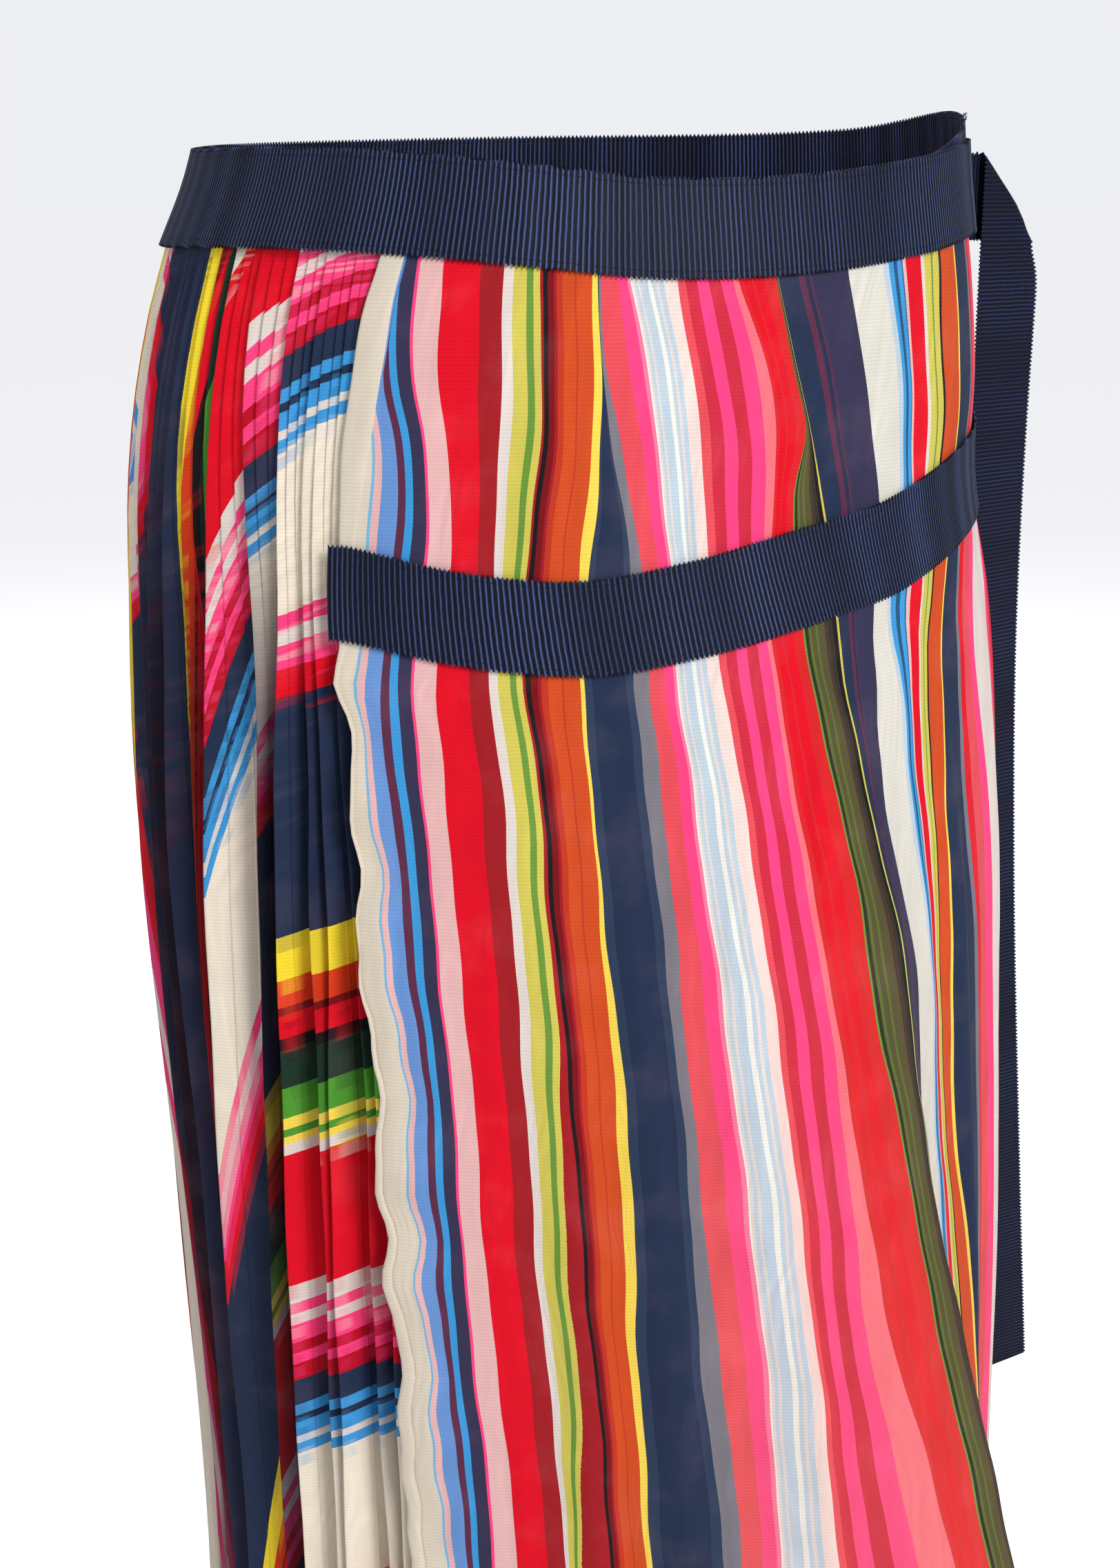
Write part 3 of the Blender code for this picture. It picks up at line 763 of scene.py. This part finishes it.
def grosgrain(name, thread):
    """Ribbed ribbon. A painted highlight, in the colour given as thread, lies on the ribs by a
    power of a cosine along it, over painted shade in the valleys between them; it is mottled by
    fine grain and by broad bands of painted sheen. Inside each edge runs a dark, sunk line of
    stitches that fades over its width."""
    made, tree, shader = new_material(name)
    place = map_of(tree, "cloth")
    along, across = parts(tree, place)
    wobble = maths(tree, "SUBTRACT", noise(tree, place, 160.0), 0.5)
    along = scaled(tree, wobble, 0.0004, along)
    rib = scaled(tree, wave(tree, along, RIB), 0.5, 0.5)
    edge = maths(tree, "PINGPONG", across, BAND_HEIGHT / 2)
    off = maths(tree, "DIVIDE", maths(tree, "SUBTRACT", edge, STITCH_INSET), STITCH_WIDTH)
    off = maths(tree, "MINIMUM", maths(tree, "ABSOLUTE", off), 1.0)
    stitch = scaled(tree, wave(tree, along, STITCH_PITCH), 0.35, 0.65)
    stitch = times(tree, maths(tree, "SUBTRACT", 1.0, off), stitch)
    grain = noise(tree, place, 700.0)
    # Broad bands of painted sheen along the ribbon, scaling its painted rib highlight
    sheen_bands = noise(tree, drawn_out(tree, place, 0.12), 26.0, 1.0)
    shine = maths(tree, "POWER", rib, RIB_POWER)
    shine = times(tree, shine, scaled(tree, grain, 0.8, 0.6))
    shine = times(tree, shine, span(tree, sheen_bands, 0.35, 0.68, 0.45, 1.25))
    # Painted highlight on the ribs over painted shade in their valleys
    colour = blend(tree, shine, linear("rib valley shade"), linear(thread))
    colour = blend(tree, times(tree, stitch, 0.8), colour, linear("stitch"))
    height = times(tree, stitch, -STITCH_DEPTH)
    height = scaled(tree, rib, RIB_HEIGHT, height)
    rough = scaled(tree, grain, 0.2, 0.45)
    looks = {"Base Color": colour, "Roughness": rough, "Normal": relief(tree, height, 0.6)}
    fill(tree, shader, {**looks, "Sheen Weight": 0.03, "Specular IOR Level": 0.14})
    return made


def plated_wire():
    """Bright plated wire, duller and rougher in small patches by a fine noise."""
    made, tree, shader = new_material("bright_plated_wire")
    place = add_node(tree, "TexCoord").outputs["Object"]
    wear = noise(tree, place, 900.0, 3.0)
    colour = blend(tree, wear, linear("bright plate"), linear("dull plate"))
    rough = scaled(tree, wear, 0.25, 0.12)
    fill(tree, shader, {"Base Color": colour, "Roughness": rough, "Metallic": 1.0})
    return made


def in_scene(name, data):
    """A new object in the scene with this mesh, lamp or lens."""
    made = bpy.data.objects.new(name, data)
    bpy.context.scene.collection.objects.link(made)
    return made


def mesh_of(name, points, faces, look):
    """An object in the scene with these points, faces and material, shaded smooth."""
    mesh = bpy.data.meshes.new(name)
    mesh.from_pydata(points.reshape(-1, 3).tolist(), [], faces.tolist())
    mesh.shade_smooth()
    mesh.materials.append(look)
    return in_scene(name, mesh)


def sheet_mesh(name, points, maps, look, thick=0.0):
    """A grid of points, rows up and columns round to the wearer's left, as a sheet with its maps
    and a thickness inwards."""
    grid = points.shape[:2]
    at = np.arange(grid[0] * grid[1]).reshape(grid)
    faces = np.stack([at[:-1, :-1], at[:-1, 1:], at[1:, 1:], at[1:, :-1]], -1).reshape(-1, 4)
    made = mesh_of(name, points, faces, look)
    for label, pair in maps.items():
        layer = made.data.uv_layers.new(name=label)
        values = np.stack([np.broadcast_to(part, grid) for part in pair], -1).reshape(-1, 2)
        layer.data.foreach_set("uv", values[faces.ravel()].astype(np.float32).ravel())
    if thick:
        shell = made.modifiers.new("thickness", "SOLIDIFY")
        shell.thickness = thick
        shell.offset = -1.0
    return made


def grain_line(place, height):
    """The share across the overlay where a place on the chart lies at a height: on smooth lines
    down the cloth for charted places, and evenly between two of them."""
    lines = np.stack([smooth(height, GRAIN_HEIGHTS, column) for column in GRAIN])[..., 0]
    k = np.clip(np.searchsorted(GRAIN_PLACES, place, side="right") - 1, 0, len(GRAIN_PLACES) - 2)
    t = (place - GRAIN_PLACES[k]) / (GRAIN_PLACES[k + 1] - GRAIN_PLACES[k])
    low, high = lines[k].T, lines[k + 1].T
    return low + t * np.maximum(high - low, LEAST_STRIPE)


def overlay_places():
    """Places on the chart for the overlay's columns, even between two charted ones."""
    places = [np.linspace(*GRAIN_PLACES[:2], 5)[:-1]]
    for k in range(1, len(GRAIN_PLACES) - 1):
        widest = (GRAIN[k + 1] - GRAIN[k]).max()
        count = int(np.ceil(widest / OVERLAY_COLUMN)) + 1
        places.append(np.linspace(*GRAIN_PLACES[k : k + 2], count)[:-1])
    return np.concatenate(places + [GRAIN_PLACES[-1:]])


def overlay(look):
    """The flat front panel. Its columns follow the stripes. The narrow hem down its free edge is
    a low ridge, the root of one minus the fourth power of the way from its middle, and sways by
    sines below the hip band."""
    places = overlay_places()
    below, above = np.linspace(0.0, 1.0, 120)[:-1], np.linspace(1.0, 3.0, 44)
    level = np.concatenate([below, above])[:, None]
    height = overlay_height(np.linspace(0.0, 1.0, len(places))[None, :], level)
    for _ in range(3):
        share = grain_line(places, height.mean(axis=1, keepdims=True))
        height = overlay_height(share, level)
    share = [grain_line(places, height[:, [k]])[:, k] for k in range(len(places))]
    share = np.stack(share, axis=1)
    edge = height[:, :1]
    reach = smooth(edge, *HEM_REACH)
    cream = smooth(edge, *CREAM_REACH)
    hem = cream - (reach + cream) * (1 - HEM_STEPS)
    first = np.maximum(share[:, :1], cream + CREAM_EDGE)
    share = np.maximum(share, first + COLUMN_GAP * np.arange(len(places)))
    beside = between(cream + CREAM_GAP, first, np.linspace(0.0, 1.0, 7)[None, :-1])
    wide = np.concatenate([hem, beside, share], axis=1)
    back = (beside - first) * ((places[0] - CHART_START) / (CREAM_SPAN + first))
    place = np.concatenate([0 * hem + HEM_PLACE, places[0] + back, 0 * share + places], axis=1)
    height = np.concatenate([edge + 0 * hem, edge + 0 * beside, height], axis=1)
    waving = lower(height, HEM_WAVE_TOP, HEM_WAVE_RUN)
    near = np.exp(-((np.maximum(wide + 0.01, 0.0) / 0.020) ** 2))
    phase = height / 0.0105 + 1.3 * np.sin(height / 0.031)
    sway = 0.45 * np.sin(phase) + 0.25 * np.sin(height / 0.0047 + 1.0)
    ripple = np.sin(height / 0.013 + 40.0 * wide) + 0.6 * np.sin(height / 0.0067 + 71.0 * wide)
    angle = overlay_angle(wide, height) + waving * near * sway
    angle = angle + RIPPLE_TURN * ripple * (1 - near)
    out = overlay_out(wide, height) + CLOTH
    out = out + waving * near * (0.0016 + 0.0018 * np.cos(phase + 0.6))
    out = to_band(out, angle, height)
    rounded = np.zeros_like(out)
    roll = HEM_ROLL + HEM_ROLL_LOW * waving[:, :1]
    rounded[:, : hem.shape[1]] = roll * np.sqrt(np.maximum(1 - (2 * HEM_STEPS - 1) ** 4, 0.0))
    points = on_body(angle, height, out + rounded)
    maps = {"stripe": (place, -height), "cloth": (run_of(points), -height)}
    return sheet_mesh("overlay_panel", points, maps, look, CHIFFON)


def even_folds(start, end):
    """Fold starts at an uneven, repeating spacing, each with a slow lean."""
    count = int(round((end - start) / np.mean(FOLD_WIDTHS)))
    steps = np.resize(FOLD_WIDTHS, count)
    at = start + (end - start) * np.concatenate([[0.0], np.cumsum(steps)]) / steps.sum()
    lean = 0.7 * np.sin(np.arange(count + 1) * 2.1)
    lean[0] = lean[-1] = 0.0
    return at[:, None] + lean[:, None] * np.linspace(1.0, -0.5, len(FOLD_HEIGHTS))[None, :]


def fold_tables(start, end):
    """Fold starts, and each fold's row as in FOLD_CLOTH. Away from the front the cloth turns on at
    a steady rate, and depth and the darkness of the painted shade vary by sines. Under the overlay
    it lies flat."""
    at_left = start > 0
    side = FOLD_STARTS[0, AT_WAIST]
    stop, seam, turned = (end, BACK_SEAM, BACK_TURN) if at_left else (side, side, SIDE_TURN)
    lines = even_folds(start, stop)
    first = turned + TURN_RATE * (seam - lines[:-1, AT_WAIST])
    wide = np.diff(lines[:, AT_WAIST]) * TURN_RATE
    deep = 0.002 + 0.002 * np.sin(np.arange(len(wide)) * 2.7)
    # How dark each fold's painted shade is
    dark = 0.2 + 0.2 * np.sin(np.arange(len(wide)) * 1.9)
    last = first - wide
    cloth = [2 + 0 * wide, first, last, first - LOW_TURN, last - LOW_TURN, deep, dark]
    cloth = np.stack(cloth, -1)
    if not at_left:
        under = np.linspace(FOLD_STARTS[-1], end, 5)[1:]
        turn = np.linspace(UNDER_TURN, 0.0, 5)
        none = 0 * turn[1:]
        flat = np.stack([none + 1, turn[:-1], turn[1:], turn[:-1], turn[1:], none, none], -1)
        lines = np.concatenate([lines[:-1], FOLD_STARTS, under])
        cloth = np.concatenate([cloth, np.array(FOLD_CLOTH), flat])
    return lines, cloth


def pleated(name, start, end, look):
    """Knife pleats. Each fold runs from a crest down to a valley and turns sharply back under the
    next crest; near the waist it holds narrow pleats that open out below the hips. The place on
    the chart is the radius on the sunburst times the cosine of the cloth's turn."""
    at_left = start > 0
    lines, cloth = fold_tables(start, end)
    pleats = cloth[:, 0].astype(int)
    fold = np.repeat(np.arange(len(pleats)), pleats)
    order = np.concatenate([np.arange(n) for n in pleats])
    fold, order = (np.repeat(v, PLEAT_FORM.shape[1])[None, :] for v in (fold, order))
    form_at, form_high = (np.tile(v, pleats.sum())[None, :] for v in PLEAT_FORM)
    many = pleats[fold]
    depth, dark = cloth[fold, 5], cloth[fold, 6]

    centre = (lines[fold, AT_WAIST] + lines[fold + 1, AT_WAIST]) / 2
    top = waist_top(band_path(centre)) - BAND_HEIGHT + TOP_TUCK
    level = np.linspace(0.0, 1.0, PLEATED_ROWS)[:, None]
    height = between(HEM, top, 1 - (1 - level) ** ROWS_CLOSER)
    fine = ease((height - OPEN_HEIGHT) / OPEN_RUN)
    low_down = lower(height, FOLDS_TOP, 0.15)

    at = np.stack([smooth(height[:, 0], FOLD_HEIGHTS, line) for line in lines], axis=1)
    wander = 0.22 * np.sin(height[:, :1] / 0.037 + 2.4 * np.arange(len(lines)))
    wander = wander + 0.12 * np.sin(height[:, :1] / 0.016 + 4.1 * np.arange(len(lines)))
    wander[:, [0, -1]] = 0.0
    at = at + wander * low_down[:, :1]
    low, high = at[:, fold[0]], at[:, fold[0] + 1]
    inner = np.where((order > 0) & (form_at < 0), form_at * 0.4 * fine, form_at)
    inner = np.where((fold == 0) & (order == 0), np.maximum(form_at, 0.0), inner)
    angle = low + (high - low) * (order + inner) / many
    whole = (order + np.maximum(form_at, 0.0)) / many
    bulk = np.interp(whole, PLEAT_FORM[0], PLEAT_FORM[1])
    bulk = np.where((order == 0) & (form_at < 0), form_high, bulk)

    wide = np.clip((high - low) / PLAIN_FOLD, 0.35, 1.3)
    big = (FOLD_DEPTH + FOLD_DEPTH_LOW * lower(height, FOLDS_TOP, 0.20)) * wide
    small = (NARROW_DEPTH * fine + NARROW_DEPTH_LOW) * np.minimum(wide, 1.0)
    free = ease((angle - LOOSE_LEFT) / 12.0) if at_left else lower(angle, LOOSE_RIGHT, 5.0)
    crest = pleat_depth(height) + pleat_wall(height)
    crest = crest + free * FREE_RISE * lower(height, -0.08, 0.20)
    sink = depth * low_down + big * (1 - bulk) + small * (1 - form_high)
    seam = ease((angle - start) / SEAM_TURN) * ease((end - angle) / SEAM_TURN)
    bare = 1.0
    if at_left:
        crest = between(CLOTH, crest, ease((angle - start) / 4.0))
    else:
        bare = lower(angle, TUCKED_RIGHT, 4.0)
    out = crest - sink * seam
    out = between(out, to_band(out, angle, height), bare)
    out = out + SWELL * np.sin(height / 0.045 + 1.7 * fold) * lower(height, -0.1, 0.1) * free
    points = on_body(angle, height, out)

    turn_top = between(cloth[fold, 1], cloth[fold, 2], (order + 0.5) / many)
    turn_low = between(cloth[fold, 3], cloth[fold, 4], whole)
    radius = SUNBURST_RADIUS - height
    arc = np.degrees((high - low) / many * (form_at - 0.5) * STEP_ARC / radius)
    stepped = ease((height - OPEN_HEIGHT) / STEP_RUN)
    turn = np.radians(between(turn_low, turn_top - arc, stepped))
    place = radius * np.cos(turn) - SUNBURST_RADIUS
    # Painted shade: darker in each fold's valley and over the folds given as dark, mostly below
    # the hips
    shade = dark * low_down + 0.45 * (1 - bulk) ** 2 * (0.08 + 0.92 * low_down)
    shade = np.clip(shade, 0.0, 1.0) * seam
    tint = np.exp(-(((angle - PLUM_ANGLE) / PLUM_REACH) ** 2)) * (0.25 + 0.75 * low_down)
    maps = {"stripe": (place, -height), "cloth": (run_of(points), -height)}
    maps["painted_shade_and_plum"] = (shade, tint)
    return sheet_mesh(name, points, maps, look, CHIFFON)


def ribbon_columns(points_at):
    """Even steps along a ribbon, four to each rib, and its length."""
    t = np.linspace(0.0, 1.0, 400)
    run = run_of(points_at(t)[None])[0]
    count = int(round(run[-1] / RIB * 4))
    return np.interp(np.linspace(0, run[-1], count), run, t), run[-1]


def ribbon_rows():
    """Shares across a ribbon, closer together by its two edges."""
    half = np.array([0.0, 0.012, 0.03, 0.055, 0.075, 0.11, 0.25, 0.42])
    return np.concatenate([half, 1 - half[::-1]])[:, None]


def ribs(count):
    """The rib's wave at each of the even steps: a crest at every fourth."""
    return np.cos(2 * np.pi * np.arange(count) / 4)


def picot(share, rib):
    """How far a ribbon's edge is scalloped along its ribs, fading at once inside the edge."""
    fade = np.exp(-((share / PICOT_SHARE) ** 2)) - np.exp(-(((1 - share) / PICOT_SHARE) ** 2))
    return PICOT * rib * fade


def ribbon_mesh(name, points, along, row, look):
    """A ribbon's sheet, with a map of the metres along it and across it."""
    maps = {"cloth": (along, BAND_HEIGHT * row)}
    return sheet_mesh(name, points, maps, look, GROSGRAIN)


def waist_ribbon(look):
    """The waistband: round the body to its front end, which is lifted over its inner end. Its
    height is its top edge's less a share of its width; its ribs are a cosine."""

    def line(t):
        """The middle of the ribbon."""
        path = between(INNER_END, FRONT_END, t)
        return on_body(path, waist_top(path) - BAND_HEIGHT / 2, 0.005)

    t, length = ribbon_columns(line)
    path = between(INNER_END, FRONT_END, t)
    row = ribbon_rows()
    rib = ribs(len(t))
    height = waist_top(path) - BAND_HEIGHT * (1 - row) - picot(row, rib)
    out = band_face() + FRONT_END_LIFT * ease((path - LIFT_START) / LIFT_RUN) + 0 * height
    out = out + RIBBON + RIB_RISE * rib
    points = on_body(path + 0 * height, height, out)
    return ribbon_mesh("waist_ribbon", points, t * length, row, look)


def hip_ribbon(look):
    """The hip band: on the overlay's outer face between its two levels, from just past the free
    edge."""

    def line(t):
        """The middle of the ribbon, on the overlay's inner face."""
        share = between(HIP_START, 1.0, t)
        height = overlay_height(np.maximum(share, 0.0), 1.5 + 0 * share)
        return on_body(overlay_angle(share, height), height, overlay_out(share, height))

    t, length = ribbon_columns(line)
    row = ribbon_rows()
    share = between(HIP_START, 1.0, t) + 0 * row
    rib = ribs(len(t))
    height = overlay_height(np.maximum(share, 0.0), 1.0 + row + 0 * share)
    out = overlay_out(share, height) + CLOTH + SEAM_GAP + RIBBON + RIB_RISE * rib
    points = on_body(overlay_angle(share, height), height - picot(row, rib), out)
    return ribbon_mesh("hip_ribbon", points, t * length, row, look)


def tie_plan(along):
    """The tie's course seen from above: an arc that leaves the waistband, then straight."""
    turn_rate = np.radians(TIE_FIRST_TURN - TIE_LAST_TURN) / TIE_LEG
    start = on_body(TIE_START, 0.0, 0.0)
    away = np.radians(TIE_FIRST_TURN)
    out = band_face() + RIBBON + TIE_GAP + TIE_THICK / 2
    start = start[:2] + out * np.array([-np.sin(away), np.cos(away)])
    bearing = away - turn_rate * np.clip(along + TIE_LEG, 0.0, TIE_LEG)
    x = (np.sin(away) - np.sin(bearing)) / turn_rate
    y = (np.cos(bearing) - np.cos(away)) / turn_rate
    direction = np.stack([np.cos(bearing), np.sin(bearing)], axis=-1)
    straight = np.maximum(along, 0.0) + np.minimum(along + TIE_LEG, 0.0)
    points = start + np.stack([x, y], axis=-1) + direction * straight[..., None]
    return points, np.stack([direction[..., 1], -direction[..., 0]], axis=-1)


def tie_point(across, along, lift):
    """Where a point of the flat ribbon lands: it leaves the waistband's slope, runs level, folds
    at 45 degrees round a small roll and hangs. The fold's outer corner is drawn in."""
    line = (along - (across - TIE_WIDTH)) / np.sqrt(2)
    past = (along + across - TIE_WIDTH) / np.sqrt(2)
    half_roll = TIE_ROLL * np.pi / 2
    bend = np.clip(past / TIE_ROLL, -np.pi / 2, np.pi / 2)
    beyond = np.where(np.abs(past) < half_roll, 0.0, half_roll - np.abs(past))
    reach = (TIE_ROLL + lift) * np.cos(bend) + beyond
    rolled = (TIE_ROLL + lift) * np.sin(bend) + TIE_ROLL
    level = (line + reach) / np.sqrt(2)
    height = TIE_TOP + (reach - line) / np.sqrt(2)
    corner = np.exp(-(((height - TIE_TOP + TIE_WIDTH) / 0.011) ** 2))
    level = level - TIE_CORNER * corner * ease((level - 0.010) / 0.026)
    points, side = tie_plan(level)
    middle = tie_plan(np.full_like(level, TIE_WIDTH / 2))[0]
    east, north, turn = (smooth(height, TIE_HANG[0], column) for column in TIE_HANG[1:])
    swing = np.radians(turn)
    arm = points + side * rolled[..., None] - middle
    x = arm[..., 0] * np.cos(swing) - arm[..., 1] * np.sin(swing) + east
    y = arm[..., 0] * np.sin(swing) + arm[..., 1] * np.cos(swing) + north
    flare = on_body(np.full_like(height, TIE_START), height, 0.0) - on_body(TIE_START, 0.0, 0.0)
    plan = middle + np.stack([x, y], axis=-1) + ease(-level / TIE_LEG)[..., None] * flare[..., :2]
    return np.concatenate([plan, height[..., None]], axis=-1)


def hanging_tie(look):
    """The tie: even steps along a flat ribbon with a slanted end and a cosine's ribs, slanted
    near the fold to follow its line."""
    start = -TIE_LEG - TIE_UNDER
    count = int(round((TIE_LENGTH - start) / RIB * 4))
    distance = np.linspace(start, TIE_LENGTH, count)[None, :]
    row = ribbon_rows()
    beside = ease(1 - np.abs(distance - TIE_WIDTH / 2) / 0.060)
    slant = TIE_SLANT * ease(distance / TIE_LENGTH) * row
    along = distance + slant + beside * TIE_WIDTH * (0.5 - row)
    rib = np.cos(2 * np.pi * along / RIB)
    across = TIE_WIDTH * row - picot(row, rib)
    points = tie_point(across, along, TIE_THICK / 2 + TIE_RIB * rib)
    return ribbon_mesh("hanging_tie", points, along, row, look)


def wire_loop(look):
    """The wire eye on the waistband's inner end: a ring carried round a path that is narrow in
    its middle."""
    t = np.linspace(0.0, 2 * np.pi, 97)
    wide = EYE_HALF_WIDTH * np.cos(t)
    tall = EYE_HALF_HEIGHT * np.sin(t) * (EYE_NECK + (1 - EYE_NECK) * np.abs(np.cos(t)))
    ring = np.linspace(0.0, 2 * np.pi, 13)
    middle = np.stack([wide, tall], axis=-1)
    step = np.gradient(middle, axis=0)
    step[0] = step[-1] = (0.0, 1.0)
    normal = np.stack([step[:, 1], -step[:, 0]], axis=-1)
    normal = normal / np.linalg.norm(step, axis=1, keepdims=True)
    flat = middle[:, None] + EYE_WIRE * np.cos(ring)[:, None] * normal[:, None]
    depth = EYE_WIRE * np.sin(ring) + 0 * flat[..., 0]
    height = waist_top(EYE_ANGLE - 360.0) + EYE_HALF_HEIGHT * 0.2
    face = band_face() + RIBBON + SEAM_GAP + EYE_WIRE
    spot = on_body(EYE_ANGLE, height, face)
    outward = on_body(EYE_ANGLE, height, face + 1.0) - spot
    sideways = np.cross([0.0, 0.0, 1.0], outward)
    points = spot + flat[..., :1] * sideways + depth[..., None] * outward
    points[..., 2] += flat[..., 1]
    points = points[:-1, :-1]
    at = np.arange(points.shape[0] * points.shape[1]).reshape(points.shape[:2])
    at = np.pad(at, ((0, 1), (0, 1)), mode="wrap")
    faces = np.stack([at[:-1, :-1], at[1:, :-1], at[1:, 1:], at[:-1, 1:]], -1).reshape(-1, 4)
    return mesh_of("wire_loop", points, faces, look)


def placed(piece, node):
    """The piece attached to the body, in its solid's place, with the solid hidden."""
    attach(piece, "root")
    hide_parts(node)
    return piece


def pale_room():
    """The pale floor and world, both brighter to the eye than they are as lights."""
    reach = np.array([-FLOOR_REACH, FLOOR_REACH])
    points = np.stack(np.broadcast_arrays(reach[None, :], reach[:, None], FLOOR), axis=-1)
    pale, tree, shader = new_material("pale_floor")
    fill(tree, shader, {"Base Color": (0.90, 0.90, 0.905, 1.0), "Roughness": 0.9})
    seen = add_node(tree, "LightPath").outputs["Is Camera Ray"]
    glow = times(tree, seen, 0.50)
    fill(tree, shader, {"Emission Color": (0.98, 0.98, 1.0, 1.0), "Emission Strength": glow})
    floor = sheet_mesh("floor", points, {}, pale)
    world = bpy.data.worlds.new("pale_room")
    world.use_nodes = True
    room = world.node_tree
    seen = add_node(room, "LightPath").outputs["Is Camera Ray"]
    light = span(room, seen, 0.0, 1.0, 0.42, 0.885)
    fill(room, room.nodes["Background"], {"Color": (0.96, 0.97, 1.0, 1.0), "Strength": light})
    bpy.context.scene.world = world


def studio():
    """The room, the square lamps that face the skirt, and the camera."""
    pale_room()
    for name, place, size, power in LAMPS:
        lamp = bpy.data.lights.new(name, "AREA")
        lamp.size = size
        lamp.energy = power
        holder = in_scene(name, lamp)
        holder.location = place
        aim = np.array(LAMP_AIM) - np.array(place)
        pitch = np.pi / 2 + np.arctan2(aim[2], np.hypot(aim[0], aim[1]))
        holder.rotation_euler = (pitch, 0.0, np.arctan2(aim[1], aim[0]) - np.pi / 2)
    bpy.context.scene.view_settings.view_transform = "Standard"
    lens = bpy.data.cameras.new("view")
    lens.sensor_fit = "AUTO"
    lens.sensor_width = SENSOR
    lens.lens = SENSOR * FOCAL_PIXELS / PHOTO_HEIGHT
    camera = in_scene("view", lens)
    camera.location = CAMERA_AT
    camera.rotation_euler = np.radians(CAMERA_TURN)
    bpy.context.scene.camera = camera


def main():
    """The studio, the materials, and the seven pieces in their solids' places."""
    studio()
    weave = weave_group()
    chart = chart_group("overlay_chart", OVERLAY_CHART, CHART_START)
    overlay_print = chiffon("striped_chiffon", chart, weave)
    start = PLEATED_CHART[-1][1] - PLEATED_REPEAT
    chart = chart_group("pleated_chart", PLEATED_CHART, start)
    pleated_print = chiffon("pleated_chiffon", chart, weave, (start, start + PLEATED_REPEAT))
    # The ribbon lit, and a copy with its rib highlight painted in shade for the tie
    ribbon = grosgrain("grosgrain", "rib highlight")
    shaded_ribbon = grosgrain("grosgrain_in_shade", "shaded rib highlight")
    panel = placed(overlay(overlay_print), "front_overlay")
    right = pleated("pleats_right", -BACK_SEAM - BACK_LAP, UNDERLAP_END, pleated_print)
    placed(right, "pleated_right")
    left = pleated("pleats_left", SIDE_SEAM, BACK_SEAM + BACK_LAP, pleated_print)
    placed(left, "pleated_left")
    waist = placed(waist_ribbon(ribbon), "waistband")
    hips = placed(hip_ribbon(ribbon), "hip_band")
    tie = placed(hanging_tie(shaded_ribbon), "tie")
    placed(wire_loop(plated_wire()), "wire_eye")


main()
